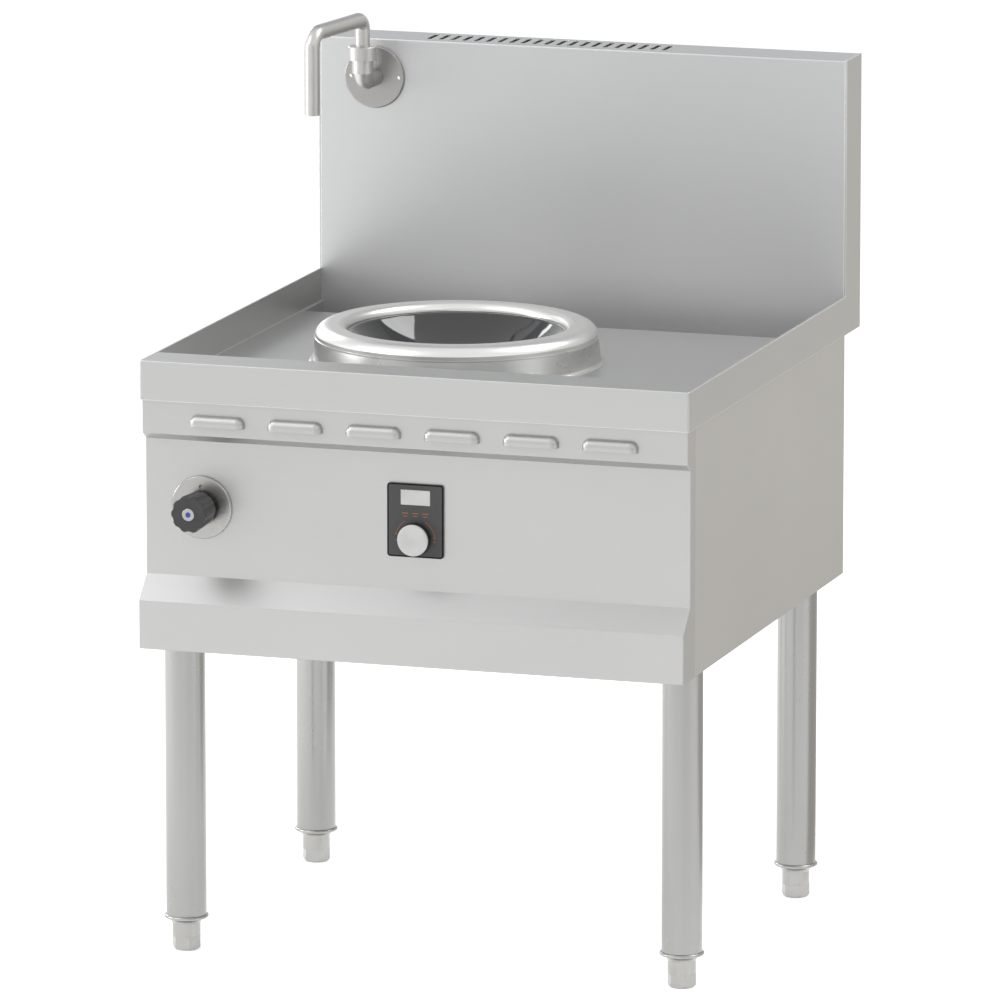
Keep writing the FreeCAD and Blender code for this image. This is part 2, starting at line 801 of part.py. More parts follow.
def make_splashback():
    """Folded front and top of the splashback, open behind, with exhaust slots."""
    body = new_body("splashback")
    fold = sketch_on(body, "YZ")
    inside = splash_sheet
    tight = top_bend - splash_sheet
    outline(fold, [
        corner(splash_front, gutter_top - top_sheet),
        corner(splash_front + inside, gutter_top - top_sheet),
        corner(splash_front + inside, splash_top - inside, tight),
        corner(splash_back - inside, splash_top - inside, tight),
        corner(splash_back - inside, splash_top - fold_flange),
        corner(splash_back, splash_top - fold_flange),
        corner(splash_back, splash_top, top_bend),
        corner(splash_front, splash_top, top_bend),
    ])
    pad(body, "fold", fold, 2 * inner_width, both_ways=True)
    notch = sketch_on(body, "XZ", y=splash_front)
    rectangle(notch, gutter_half + top_sheet, half_width, gutter_top - 3 * top_sheet, apron_bottom)
    notch_cut = pocket(body, "notch", notch, 4 * splash_sheet, both_ways=True)
    mirrored(body, "notches", [notch_cut])
    slot = sketch_on(body, "XY", z=splash_top)
    first = bowl_centre_x - slot_pitch * (slot_count - 1) / 2
    middle = (splash_front + splash_back) / 2
    rectangle(slot, first - slot_width / 2, first + slot_width / 2,
              middle - slot_length / 2, middle + slot_length / 2, slot_width * slot_rounding)
    cut = pocket(body, "slot", slot, 3 * splash_sheet, both_ways=True)
    in_line(body, "slots", [cut], "X", slot_pitch, slot_count)
    ports = sketch_on(body, "XZ", y=splash_front)
    circle(ports, tap_x, tap_height, elbow_radius + fit_gap)
    circle(ports, tap_x - tap_hole_spacing / 2, tap_height, tap_hole_radius)
    circle(ports, tap_x + tap_hole_spacing / 2, tap_height, tap_hole_radius)
    pocket(body, "tap_holes", ports, 4 * splash_sheet, both_ways=True)


def make_exhaust_duct():
    """Channel that leads the cooling air from the case up to the slots."""
    body = new_body("exhaust_duct", x=bowl_centre_x)
    back = rear_face + duct_depth
    wall = sketch_on(body, "YZ", x=duct_half)
    outline(wall, [
        corner(rear_face, duct_bottom),
        corner(back, duct_bottom),
        corner(back, splash_top - splash_sheet),
        corner(splash_front + splash_sheet, splash_top - splash_sheet, top_bend),
        corner(splash_front + splash_sheet, apron_bottom),
        corner(rear_face, apron_bottom),
    ])
    wall_pad = pad(body, "wall", wall, splash_sheet, backwards=True)
    mirrored(body, "walls", [wall_pad])
    rear = sketch_on(body, "XZ", y=back)
    rectangle(rear, -duct_half, duct_half, duct_bottom, splash_top - splash_sheet)
    pad(body, "back", rear, splash_sheet)
    base = sketch_on(body, "XY", z=duct_bottom)
    rectangle(base, -duct_half, duct_half, rear_face, back)
    pad(body, "base", base, splash_sheet)


# ---------------------------------------------------------------- casing

def make_front_fascia():
    """Folded front: vent strip with pressed louvres, panel, slope and kick plate."""
    body = new_body("front_fascia")
    thick = case_sheet
    slope_shift = thick * tangent(kick_angle / 2)
    strip_shift = thick * tangent(strip_angle / 2)
    outer = [
        corner(strip_face, apron_bottom),
        corner(strip_face, strip_bottom),
        corner(panel_face, panel_top),
        corner(panel_face, slope_top),
        corner(kick_face, kick_top),
        corner(kick_face, case_bottom),
    ]
    inner = [
        corner(kick_face + fold_flange, case_bottom),
        corner(kick_face + fold_flange, case_bottom + thick),
        corner(kick_face + thick, case_bottom + thick),
        corner(kick_face + thick, kick_top - slope_shift),
        corner(panel_face + thick, slope_top - slope_shift),
        corner(panel_face + thick, panel_top + strip_shift),
        corner(strip_face + thick, strip_bottom + strip_shift),
        corner(strip_face + thick, apron_bottom),
    ]
    fold = sketch_on(body, "YZ")
    outline(fold, outer + inner)
    pad(body, "fold", fold, 2 * case_half, both_ways=True)
    wrap = sketch_on(body, "YZ", x=case_half)
    outline(wrap, outer + [corner(side_wrap, case_bottom), corner(side_wrap, apron_bottom)])
    wrap_pad = pad(body, "wrap", wrap, thick, backwards=True)
    mirrored(body, "wraps", [wrap_pad])
    rounded_edges(body, "corners", case_bend, lambda middle, box: (
        near(abs(middle.x), case_half) and box.ZLength > 5
        and middle.y < panel_face.number + 0.01))
    add_louvres(body, thick)
    holes = sketch_on(body, "XZ", y=panel_face)
    circle(holes, tap_x, valve_height, neck_radius + fit_gap)
    rectangle(holes, bezel_lap - bezel_width / 2, bezel_width / 2 - bezel_lap,
              bezel_centre - bezel_height / 2 + bezel_lap,
              bezel_centre + bezel_height / 2 - bezel_lap)
    pocket(body, "panel_holes", holes, 4 * thick, both_ways=True)


def louvre_section(body, x, reach, height, drop):
    """Half section of a louvre: upright face below, quarter round above."""
    sketch = sketch_on(body, "YZ", x=x, y=strip_face)
    low = louvre_bottom - drop
    top = louvre_bottom + height
    outline(sketch, [
        corner(ZERO, low),
        corner(ZERO, top),
        arc_to(-reach, top - reach, reach, 1),
        corner(-reach, low),
    ])
    return sketch


def add_louvres(body, thick):
    """Presses one louvre with domed ends out of the vent strip, then repeats it."""
    first = -louvre_pitch * (louvre_count - 1) / 2
    left = first - louvre_length / 2 + louvre_reach
    right = first + louvre_length / 2 - louvre_reach
    near_left = louvre_section(body, left, louvre_reach, louvre_height, ZERO)
    near_right = louvre_section(body, right, louvre_reach, louvre_height, ZERO)
    hood = pad(body, "hood", near_left, louvre_length - 2 * louvre_reach)
    dome_left = turned(body, "dome_left", near_left, angle=90, backwards=True)
    dome_right = turned(body, "dome_right", near_right, angle=90)
    bore = louvre_reach - thick
    rise = louvre_height - thick
    hollow_left = louvre_section(body, left, bore, rise, thick)
    hollow_right = louvre_section(body, right, bore, rise, thick)
    cave = pocket(body, "cave", hollow_left, louvre_length - 2 * louvre_reach, backwards=True)
    cave_left = turned_cut(body, "cave_left", hollow_left, angle=90, backwards=True)
    cave_right = turned_cut(body, "cave_right", hollow_right, angle=90)
    slot = sketch_on(body, "XZ", y=strip_face)
    outline(slot, [
        corner(left - bore, louvre_bottom),
        corner(right + bore, louvre_bottom),
        corner(right + bore, louvre_bottom + rise, bore),
        corner(left - bore, louvre_bottom + rise, bore),
    ])
    through = pocket(body, "louvre_slot", slot, 2 * thick)
    parts = [hood, dome_left, dome_right, cave, cave_left, cave_right, through]
    in_line(body, "louvres", parts, "X", louvre_pitch, louvre_count)


def make_side_panel(label, side):
    """Folded side sheet with flanges turned in behind and below."""
    body = new_body(label)
    face = side * case_half
    inside = side * (case_half - case_sheet)
    turned_in = side * (case_half - fold_flange)
    front = side_wrap + fit_gap
    plan = sketch_on(body, "XY", z=case_bottom)
    outline(plan, [
        corner(face, front),
        corner(face, case_depth, case_bend),
        corner(turned_in, case_depth),
        corner(turned_in, case_depth - case_sheet),
        corner(inside, case_depth - case_sheet),
        corner(inside, front),
    ])
    pad(body, "sheet", plan, apron_bottom - case_bottom)
    foot = sketch_on(body, "XY", z=case_bottom)
    outline(foot, [
        corner(inside, front),
        corner(turned_in, front),
        corner(turned_in, case_depth - case_sheet),
        corner(inside, case_depth - case_sheet),
    ])
    pad(body, "flange", foot, case_sheet)
    notch = sketch_on(body, "XY", z=case_bottom)
    for y in (leg_front, leg_rear):
        circle(notch, side * leg_spread, y, leg_radius + fit_gap)
    pocket(body, "leg_notches", notch, 4 * case_sheet, both_ways=True)


def make_rear_panel():
    """Screwed rear sheet with intake slots and the openings for duct, pipes and cable."""
    body = new_body("rear_panel")
    sheet_sketch = sketch_on(body, "XZ", y=rear_face)
    edge = case_half - case_bend
    top = apron_bottom - fit_gap
    rectangle(sheet_sketch, -edge, edge, case_bottom + case_sheet, top)
    pad(body, "sheet", sheet_sketch, case_sheet)
    holes = sketch_on(body, "XZ", y=rear_face)
    inner = duct_half - 2 * splash_sheet
    rectangle(holes, bowl_centre_x - inner, bowl_centre_x + inner,
              duct_bottom + duct_margin, gutter_top - 4 * duct_margin, duct_margin)
    circle(holes, tap_x, riser_turn, pipe_radius + 4 * fit_gap)
    circle(holes, tap_x, inlet_height, inlet_radius + fit_gap)
    circle(holes, gland_x, gland_height, gland_radius + fit_gap)
    pocket(body, "openings", holes, 4 * case_sheet, both_ways=True)
    vent = sketch_on(body, "XZ", y=rear_face)
    low = case_bottom + fold_flange + vent_pitch
    outline(vent, [
        corner(-vent_length / 2, low, vent_width * slot_rounding),
        corner(vent_length / 2, low, vent_width * slot_rounding),
        corner(vent_length / 2, low + vent_width, vent_width * slot_rounding),
        corner(-vent_length / 2, low + vent_width, vent_width * slot_rounding),
    ])
    cut = pocket(body, "vent", vent, 4 * case_sheet, both_ways=True)
    in_line(body, "vents", [cut], "Z", vent_pitch, vent_count)


def make_rear_screws():
    """Domed screws that hold the rear panel to the side flanges."""
    body = new_body("rear_panel_screws")
    curve = (screw_radius * screw_radius + screw_height * screw_height) / (2 * screw_height)
    low = case_bottom + fold_flange
    heads = []
    for name, side in (("left", -1), ("right", 1)):
        half = sketch_on(body, "XY", x=side * (case_half - fold_flange / 2), y=rear_face, z=low)
        outline(half, [
            corner(ZERO, ZERO),
            corner(screw_radius, ZERO),
            arc_to(ZERO, screw_height, curve, 1),
        ])
        heads.append(turned(body, name, half))
    rise = (apron_bottom - low - fold_flange) / (screw_count - 1)
    in_line(body, "columns", heads, "Z", rise, screw_count)


def make_bottom_panel():
    """Floor of the case with holes for the legs and intake slots under the fan."""
    body = new_body("bottom_panel")
    plan = sketch_on(body, "XY", z=case_bottom + case_sheet)
    edge = case_half - case_sheet - fit_gap
    rectangle(plan, -edge, edge, kick_face + case_sheet + fit_gap,
              case_depth - case_sheet - fit_gap)
    pad(body, "sheet", plan, case_sheet)
    holes = sketch_on(body, "XY", z=case_bottom + case_sheet)
    for x in (-leg_spread, leg_spread):
        for y in (leg_front, leg_rear):
            circle(holes, x, y, leg_radius + fit_gap)
    circle(holes, drain_x, drain_y, drain_radius + 4 * fit_gap)
    pocket(body, "leg_holes", holes, 4 * case_sheet, both_ways=True)
    vent = sketch_on(body, "XY", z=case_bottom + case_sheet)
    low = fan_y - vent_pitch * (vent_count - 1) / 2 - vent_width / 2
    rectangle(vent, fan_x - fan_size / 2, fan_x + fan_size / 2, low, low + vent_width,
              vent_width * slot_rounding)
    cut = pocket(body, "vent", vent, 4 * case_sheet, both_ways=True)
    in_line(body, "vents", [cut], "Y", vent_pitch, vent_count)


def make_underframe():
    """Welded angle frame with gussets and the spigots that carry the legs."""
    body = new_body("underframe")
    side = case_half - case_sheet - 2 * fit_gap
    front = kick_face + case_sheet + 2 * fit_gap
    back = case_depth - case_sheet - 2 * fit_gap
    ring = sketch_on(body, "XY", z=floor_top)
    rectangle(ring, -side, side, front, back)
    rectangle(ring, frame_width - side, side - frame_width,
              front + frame_width, back - frame_width)
    pad(body, "flange", ring, frame_sheet)
    wall = sketch_on(body, "XY", z=floor_top)
    rectangle(wall, -side, side, front, back)
    rectangle(wall, frame_sheet - side, side - frame_sheet,
              front + frame_sheet, back - frame_sheet)
    pad(body, "upstand", wall, frame_width)
    plate = sketch_on(body, "XY", z=floor_top)
    rectangle(plate, side - gusset, side, front, leg_front + gusset / 2)
    rectangle(plate, side - gusset, side, leg_rear - gusset / 2, leg_rear + gusset / 2)
    plate_pad = pad(body, "gusset", plate, frame_sheet)
    rail = sketch_on(body, "XY", z=floor_top)
    rectangle(rail, -frame_sheet, side, leg_rear - gusset / 2, leg_rear - gusset / 2 + frame_width)
    rail_pad = pad(body, "rail", rail, frame_sheet)
    spigot = sketch_on(body, "XY", z=floor_top)
    for y in (leg_front, leg_rear):
        circle(spigot, leg_spread, y, spigot_radius)
        circle(spigot, leg_spread, y, spigot_radius - frame_sheet)
    spigot_pad = pad(body, "spigot", spigot, spigot_length, backwards=True)
    mirrored(body, "other_side", [plate_pad, rail_pad, spigot_pad])
    notch = sketch_on(body, "XY", z=floor_top)
    circle(notch, drain_x, drain_y, drain_radius + 4 * fit_gap)
    pocket(body, "drain_notch", notch, 4 * frame_sheet, both_ways=True)


# ---------------------------------------------------------------- legs and feet

def make_leg(label, x, y):
    """Round tube leg with a threaded nut plate welded inside its lower end."""
    body = new_body(label, x=x, y=y)
    half = sketch_on(body, "XZ")
    inside = leg_radius - leg_wall
    nut_low = foot_height + sleeve_length + foot_travel
    nut_high = nut_low + leg_nut_height
    hole = stud_radius + running_gap
    outline(half, [
        corner(leg_radius, foot_height),
        corner(leg_radius, floor_top),
        corner(inside, floor_top),
        corner(inside, nut_high),
        corner(hole, nut_high),
        corner(hole, nut_low),
        corner(inside, nut_low),
        corner(inside, foot_height),
    ])
    turned(body, "tube", half)


def make_foot(label, x, y):
    """Adjustable foot: hexagon, barrel, bead flange, sleeve and stud."""
    body = new_body(label, x=x, y=y)
    half = sketch_on(body, "XZ")
    sleeve = leg_radius - leg_wall - running_gap
    flange_low = foot_height - foot_flange_height
    barrel_top = flange_low - foot_dome_height
    hex_top = foot_hex_height
    dome = foot_flange_radius - foot_barrel_radius
    outline(half, [
        corner(ZERO, hex_top - 1),
        corner(foot_barrel_radius, hex_top - 1),
        corner(foot_barrel_radius, barrel_top),
        arc_to(foot_flange_radius - foot_bead, flange_low, dome * 1.1, -1),
        arc_to(foot_flange_radius - foot_bead, foot_height, foot_flange_height * 0.52, 1),
        corner(sleeve, foot_height),
        corner(sleeve, foot_height + sleeve_length),
        corner(stud_radius, foot_height + sleeve_length),
        corner(stud_radius, foot_height + sleeve_length + stud_length),
        corner(ZERO, foot_height + sleeve_length + stud_length),
    ])
    turned(body, "turned_part", half)
    wrench = sketch_on(body, "XY")
    across = foot_hex / 2
    point = across / cosine(hex_half_angle)
    outline(wrench, [
        corner(point, ZERO),
        corner(point / 2, across),
        corner(-point / 2, across),
        corner(-point, ZERO),
        corner(-point / 2, -across),
        corner(point / 2, -across),
    ])
    pad(body, "hexagon", wrench, hex_top)
    trim = sketch_on(body, "XZ")
    chamfer = foot_bevel
    outline(trim, [
        corner(point - chamfer, ZERO),
        corner(point + 1, ZERO),
        corner(point + 1, chamfer + 1),
    ])
    turned_cut(body, "hexagon_bevel", trim)


# ---------------------------------------------------------------- wok station

def at_bowl(label, z=None):
    """A body on the bowl's axis, from the collar's top unless z is given."""
    return new_body(label, x=bowl_centre_x, y=bowl_centre_y, z=collar_top if z is None else z)


def make_wok_collar():
    """Spun collar that rises from the deck and carries ring, seal and glass."""
    body = at_bowl("wok_collar", deck_top)
    half = sketch_on(body, "XZ")
    skirt_foot = collar_foot_radius - collar_foot_run
    skirt_top = collar_radius - collar_lip
    inside = top_sheet
    seat = glass_radius - seal_width
    outline(half, [
        corner(skirt_foot - inside, ZERO),
        corner(collar_foot_radius, ZERO),
        arc_to(skirt_foot, collar_foot_height, collar_foot_curve, -1),
        corner(skirt_top, collar_height - top_sheet),
        corner(collar_radius, collar_height - top_sheet),
        corner(collar_radius, collar_height),
        corner(seat, collar_height),
        corner(seat, collar_height - top_sheet),
        corner(skirt_top - inside, collar_height - top_sheet),
        corner(skirt_foot - inside, collar_foot_height),
    ])
    turned(body, "spun", half)


def make_trim_ring():
    """Polished ring round the bowl, rounded outside, hollow underneath."""
    body = at_bowl("trim_ring")
    half = sketch_on(body, "XZ")
    over = ring_radius - ring_top_radius
    rise = ring_height - ring_shoulder
    shoulder = (over * over + rise * rise) / (2 * rise)
    lip_inner = ring_crest_radius - ring_lip
    lip_low = glass_top + fit_gap
    foot_inner = glass_radius + 3 * fit_gap
    outline(half, [
        corner(foot_inner, ZERO),
        corner(ring_radius, ZERO),
        corner(ring_radius, ring_shoulder),
        arc_to(ring_top_radius, ring_height, shoulder, 1),
        corner(ring_crest_radius, ring_height),
        arc_to(lip_inner, ring_height - ring_lip, ring_lip, 1),
        corner(lip_inner, lip_low),
        corner(foot_inner, lip_low),
    ])
    turned(body, "ring", half)
    hollow = sketch_on(body, "XZ")
    outline(hollow, [
        corner(foot_inner + ring_wall, ZERO),
        corner(ring_radius - ring_wall, ZERO),
        corner(ring_radius - ring_wall, ring_shoulder),
        corner(ring_top_radius, ring_height - ring_wall),
        corner(foot_inner + ring_wall, ring_height - ring_wall),
    ])
    turned_cut(body, "hollow", hollow)


def make_glass_bowl():
    """Ceramic glass bowl: part of a sphere with a flat rim."""
    body = at_bowl("glass_bowl")
    half = sketch_on(body, "XZ")
    low_edge = bowl_middle - seal_height
    outer = root(glass_curve * glass_curve - low_edge * low_edge)
    bottom = glass_top - bowl_depth
    outline(half, [
        corner(ZERO, bottom - glass_sheet),
        arc_to(outer, seal_height, glass_curve, 1),
        corner(glass_radius, seal_height),
        corner(glass_radius, glass_top),
        corner(bowl_radius, glass_top),
        arc_to(ZERO, bottom, bowl_curve, -1),
    ])
    turned(body, "bowl", half)
    rounded_edges(body, "rim_curve", glass_sheet, lambda middle, box: (
        near(box.ZMin, glass_top) and near(box.XMax, bowl_radius)))


def make_bowl_seal():
    """Flat seal between the glass and the collar."""
    body = at_bowl("bowl_seal")
    half = sketch_on(body, "XZ")
    rectangle(half, glass_radius - seal_width, glass_radius, ZERO, seal_height)
    turned(body, "ring", half)


def shell_band(body, inner_radius, outer_radius, start, end):
    """Half section of a band between two spheres that share the bowl's middle."""
    sketch = sketch_on(body, "XZ")

    def height(curve, radius):
        return bowl_middle - root(curve * curve - radius * radius)

    outline(sketch, [
        corner(start, height(outer_radius, start)),
        arc_to(end, height(outer_radius, end), outer_radius, 1),
        corner(end, height(inner_radius, end)),
        arc_to(start, height(inner_radius, start), inner_radius, -1),
    ])
    return sketch


def make_induction_coil():
    """Flat wound coil, dished to follow the glass."""
    body = at_bowl("induction_coil")
    band = shell_band(body, glass_curve + coil_gap, carrier_curve, coil_inner, coil_outer)
    turned(body, "winding", band)


def make_coil_carrier():
    """Dished carrier under the coil with a flange that hangs from the collar."""
    body = at_bowl("coil_carrier")
    band = shell_band(body, carrier_curve, carrier_curve + carrier_sheet, carrier_hole,
                      carrier_rim)
    turned(body, "dish", band)
    flange = sketch_on(body, "XZ")
    rectangle(flange, carrier_rim - carrier_sheet, glass_radius + 2 * seal_width,
              carrier_top - carrier_sheet, carrier_top)
    turned(body, "flange", flange)


def make_carrier_studs():
    """Four studs between the collar and the coil carrier."""
    body = at_bowl("carrier_studs")
    stud = sketch_on(body, "XY", z=carrier_top)
    circle(stud, glass_radius + seal_width, ZERO, stud_post_radius)
    post = pad(body, "stud", stud, -carrier_top - top_sheet)
    in_circle(body, "studs", [post], "Z", stud_count)


def make_ferrite_bars():
    """Bars under the coil that keep the field upwards."""
    body = at_bowl("ferrite_bars")
    under = carrier_curve + carrier_sheet + fit_gap
    middle = bar_middle
    reach = bar_reach
    thick = bar_height
    drop = root(under * under - middle * middle)
    slope = middle / drop
    bar = sketch_on(body, "XZ")
    top = bowl_middle - drop
    outline(bar, [
        corner(middle - reach, top - reach * slope),
        corner(middle + reach, top + reach * slope),
        corner(middle + reach, top + reach * slope - thick),
        corner(middle - reach, top - reach * slope - thick),
    ])
    block = pad(body, "bar", bar, bar_width, both_ways=True)
    in_circle(body, "bars", [block], "Z", ferrite_count)


def make_temperature_sensor():
    """Sensor that touches the underside of the glass through the carrier."""
    body = at_bowl("temperature_sensor")
    half = sketch_on(body, "XZ")
    tip = glass_top - bowl_depth - glass_sheet - fit_gap
    flange_top = bowl_middle - carrier_curve - carrier_sheet - fit_gap
    outline(half, [
        corner(ZERO, flange_top - sensor_sheet),
        corner(sensor_flange, flange_top - sensor_sheet),
        corner(sensor_flange, flange_top),
        corner(sensor_radius, flange_top),
        corner(sensor_radius, tip),
        corner(ZERO, tip),
    ])
    turned(body, "sensor", half)


# ---------------------------------------------------------------- power module and fan

def make_generator_module():
    """Closed housing of the induction generator on two mounting feet."""
    body = new_body("generator_module", x=module_x, y=module_y, z=floor_top)
    plan = sketch_on(body, "XY")
    rectangle(plan, -module_width / 2, module_width / 2, -module_length / 2, module_length / 2,
              module_rounding)
    pad(body, "housing", plan, module_height)
    foot = sketch_on(body, "XY")
    rectangle(foot, -module_width / 2, module_width / 2,
              -module_length / 2 - fold_flange, module_length / 2 + fold_flange, module_rounding)
    pad(body, "feet", foot, case_sheet)
    fin = sketch_on(body, "XY", z=module_height)
    left = fin_margin - module_width / 2
    rectangle(fin, left, left + fin_sheet,
              fin_margin - module_length / 2, module_length / 2 - fin_margin)
    plate = pad(body, "fin", fin, fin_height)
    in_line(body, "fins", [plate], "X", fin_pitch, fin_count)


def make_fan_housing():
    """Square fan frame with a round tunnel, spokes and a bearing for the rotor."""
    body = new_body("fan_housing", x=fan_x, y=fan_y, z=floor_top)
    plan = sketch_on(body, "XY")
    rectangle(plan, -fan_size / 2, fan_size / 2, -fan_size / 2, fan_size / 2, fan_rounding)
    circle(plan, ZERO, ZERO, fan_size / 2 - fan_wall)
    pad(body, "frame", plan, fan_depth)
    spoke = sketch_on(body, "XY")
    rectangle(spoke, fan_hub_radius / 2, fan_size / 2 - fan_wall / 2,
              -spoke_width / 2, spoke_width / 2)
    arm = pad(body, "spoke", spoke, spoke_height)
    in_circle(body, "spokes", [arm], "Z", spoke_count)
    hub = sketch_on(body, "XY")
    circle(hub, ZERO, ZERO, fan_hub_radius)
    circle(hub, ZERO, ZERO, fan_shaft_radius + running_gap)
    pad(body, "bearing", hub, fan_bearing)


def make_fan_rotor():
    """Hub, shaft and raked blades of the cooling fan."""
    body = new_body("fan_rotor", x=fan_x, y=fan_y, z=floor_top)
    hub = sketch_on(body, "XZ")
    outline(hub, [
        corner(ZERO, fan_end_gap),
        corner(fan_shaft_radius, fan_end_gap),
        corner(fan_shaft_radius, fan_bearing + fit_gap),
        corner(fan_hub_radius, fan_bearing + fit_gap),
        corner(fan_hub_radius, fan_depth - 2 * fan_end_gap, fan_hub_rounding),
        corner(ZERO, fan_depth - 2 * fan_end_gap),
    ])
    turned(body, "hub", hub)
    rake = sketch_on(body, "YZ", x=fan_hub_radius - blade_sheet)
    outline(rake, [
        corner(-blade_lead, blade_foot),
        corner(blade_sheet - blade_lead, blade_foot),
        corner(blade_rake + blade_sheet - blade_lead, fan_depth - blade_margin),
        corner(blade_rake - blade_lead, fan_depth - blade_margin),
    ])
    tip = fan_size / 2 - fan_wall - fan_tip_gap
    blade = pad(body, "blade", rake, tip - fan_hub_radius)
    in_circle(body, "blades", [blade], "Z", blade_count)


# ---------------------------------------------------------------- drain

def make_drain_outlet():
    """Flanged waste of the rear gutter with its pipe through the case floor."""
    body = new_body("drain_outlet", x=drain_x, y=drain_y, z=gutter_top)
    half = sketch_on(body, "XZ")
    bore = drain_radius - top_sheet
    low = case_bottom - drain_reach - gutter_top
    rim = drain_rim
    shoulder = case_bottom - drain_step - gutter_top
    outline(half, [
        corner(drain_spigot_radius, low),
        corner(drain_spigot_radius, shoulder),
        corner(drain_radius, shoulder),
        corner(drain_radius, ZERO),
        corner(drain_flange_radius, ZERO),
        corner(drain_flange_radius, rim),
        corner(bore, rim),
        corner(bore, shoulder + 2 * top_sheet),
        corner(drain_spigot_radius - top_sheet, shoulder + 2 * top_sheet),
        corner(drain_spigot_radius - top_sheet, low),
    ])
    turned(body, "pipe", half)


def make_drain_strainer():
    """Domed strainer with round holes that drops into the waste."""
    body = new_body("drain_strainer", x=drain_x, y=drain_y, z=gutter_top + drain_rim)
    half = sketch_on(body, "XZ")
    rim = drain_flange_radius - strainer_lap
    plug = drain_radius - top_sheet - fit_gap
    rise = strainer_rise
    skin = strainer_sheet
    curve = (rim * rim + rise * rise) / (2 * rise)
    outline(half, [
        corner(plug - skin, -strainer_skirt),
        corner(plug, -strainer_skirt),
        corner(plug, ZERO),
        corner(rim, ZERO),
        corner(rim, skin),
        arc_to(ZERO, rise + skin, curve, 1),
        corner(ZERO, rise),
        corner(plug - skin, skin),
    ])
    turned(body, "cap", half)
    hole = sketch_on(body, "XY")
    circle(hole, strainer_hole_ring, ZERO, strainer_hole_radius)
    cut = pocket(body, "hole", hole, 3 * strainer_skirt, both_ways=True)
    in_circle(body, "holes", [cut], "Z", strainer_hole_count)


# ---------------------------------------------------------------- tap

def make_tap_flange():
    """Wall plate with two screw holes."""
    body = new_body("tap_flange", x=tap_x, y=splash_front, z=tap_height)
    half = sketch_on(body, "XY")
    bore = elbow_radius + running_gap
    outline(half, [
        corner(bore, ZERO),
        corner(tap_plate_radius, ZERO),
        corner(tap_plate_radius, -tap_plate_sheet, tap_plate_sheet / 2),
        corner(bore, -tap_plate_sheet),
    ])
    turned(body, "plate", half)
    holes = sketch_on(body, "XZ")
    for side in (-1, 1):
        circle(holes, side * tap_hole_spacing / 2, ZERO, tap_hole_radius)
    pocket(body, "holes", holes, 3 * tap_plate_sheet, both_ways=True)


def make_tap_elbow():
    """Cast elbow that comes through the splashback and turns up into a socket."""
    body = new_body("tap_elbow", x=tap_x, y=splash_front, z=tap_height)
    tail = riser_y - splash_front
    route = sketch_on(body, "YZ")
    outline(route, [
        corner(tail - pipe_bend - pipe_joint, ZERO),
        corner(-tap_reach, ZERO, elbow_bend),
        corner(-tap_reach, (socket_start + socket_end) / 2),
    ], closed=False)
    ring = sketch_on(body, "XZ", y=tail - pipe_bend - pipe_joint)
    circle(ring, ZERO, ZERO, elbow_radius)
    circle(ring, ZERO, ZERO, elbow_bore)
    sweep(body, "bend", ring, route)
    socket = sketch_on(body, "XY", y=-tap_reach, z=socket_start)
    circle(socket, ZERO, ZERO, socket_radius)
    circle(socket, ZERO, ZERO, (elbow_radius + spout_radius) / 2)
    pad(body, "socket", socket, socket_end - socket_start)
    seat = sketch_on(body, "XY", y=-tap_reach, z=socket_end)
    circle(seat, ZERO, ZERO, spout_radius + running_gap)
    pocket(body, "seat", seat, seat_depth)


def make_spout_nut():
    """Round union nut that holds the spout's collar down on the socket."""
    body = new_body("spout_nut", x=tap_x, y=splash_front - tap_reach, z=tap_height)
    half = sketch_on(body, "XZ")
    top = nut_start + nut_height
    shelf = top - nut_shelf
    wide = socket_radius + running_gap
    narrow = spout_radius + running_gap
    outline(half, [
        corner(wide, nut_start),
        corner(nut_radius, nut_start),
        corner(nut_radius, top - nut_edge),
        corner(nut_radius - nut_edge, top),
        corner(narrow + nut_bevel, top),
        corner(narrow, top - nut_edge),
        corner(narrow, shelf),
        corner(wide, shelf),
    ])
    turned(body, "nut", half)


def make_spout():
    """Bent tube: up from the socket, out over the bowl and down."""
    body = new_body("spout", x=tap_x, y=splash_front - tap_reach, z=tap_height)
    body.Placement = Placement(body.Placement.Base, Rotation(Vector(0, 0, 1), spout_rest.number))
    bind(body, "Placement.Rotation.Angle", spout_rest)
    route = sketch_on(body, "YZ")
    start = socket_start + spout_insert
    outline(route, [
        corner(ZERO, start),
        corner(ZERO, spout_rise, spout_back_bend),
        corner(-spout_length, spout_rise, spout_front_bend),
        corner(-spout_length, spout_rise - spout_drop),
    ], closed=False)
    ring = sketch_on(body, "XY", z=start)
    circle(ring, ZERO, ZERO, spout_radius)
    circle(ring, ZERO, ZERO, spout_radius - spout_wall)
    sweep(body, "tube", ring, route)
    collar = sketch_on(body, "XY", z=socket_end + running_gap)
    circle(collar, ZERO, ZERO, socket_radius - nut_edge)
    circle(collar, ZERO, ZERO, spout_radius - spout_wall / 2)
    top = nut_start + nut_height - nut_shelf
    pad(body, "collar", collar, top - socket_end - 3 * running_gap)


# ---------------------------------------------------------------- water valve and pipes

def at_valve(label):
    """A body on the valve's axis with y = 0 on the panel's face."""
    return new_body(label, x=tap_x, y=panel_face, z=valve_height)


def make_valve_rose():
    """Round cover plate of the valve, with its small hole above the wheel."""
    body = at_valve("valve_rose")
    half = sketch_on(body, "XY")
    outline(half, [
        corner(neck_radius + running_gap, ZERO),
        corner(rose_radius, ZERO),
        corner(rose_radius, -rose_thickness, rose_thickness * 0.4),
        corner(neck_radius + running_gap, -rose_thickness),
    ])
    turned(body, "plate", half)
    hole = sketch_on(body, "XZ")
    circle(hole, ZERO, rose_hole_rise, rose_hole_radius)
    pocket(body, "hole", hole, 3 * rose_thickness, both_ways=True)


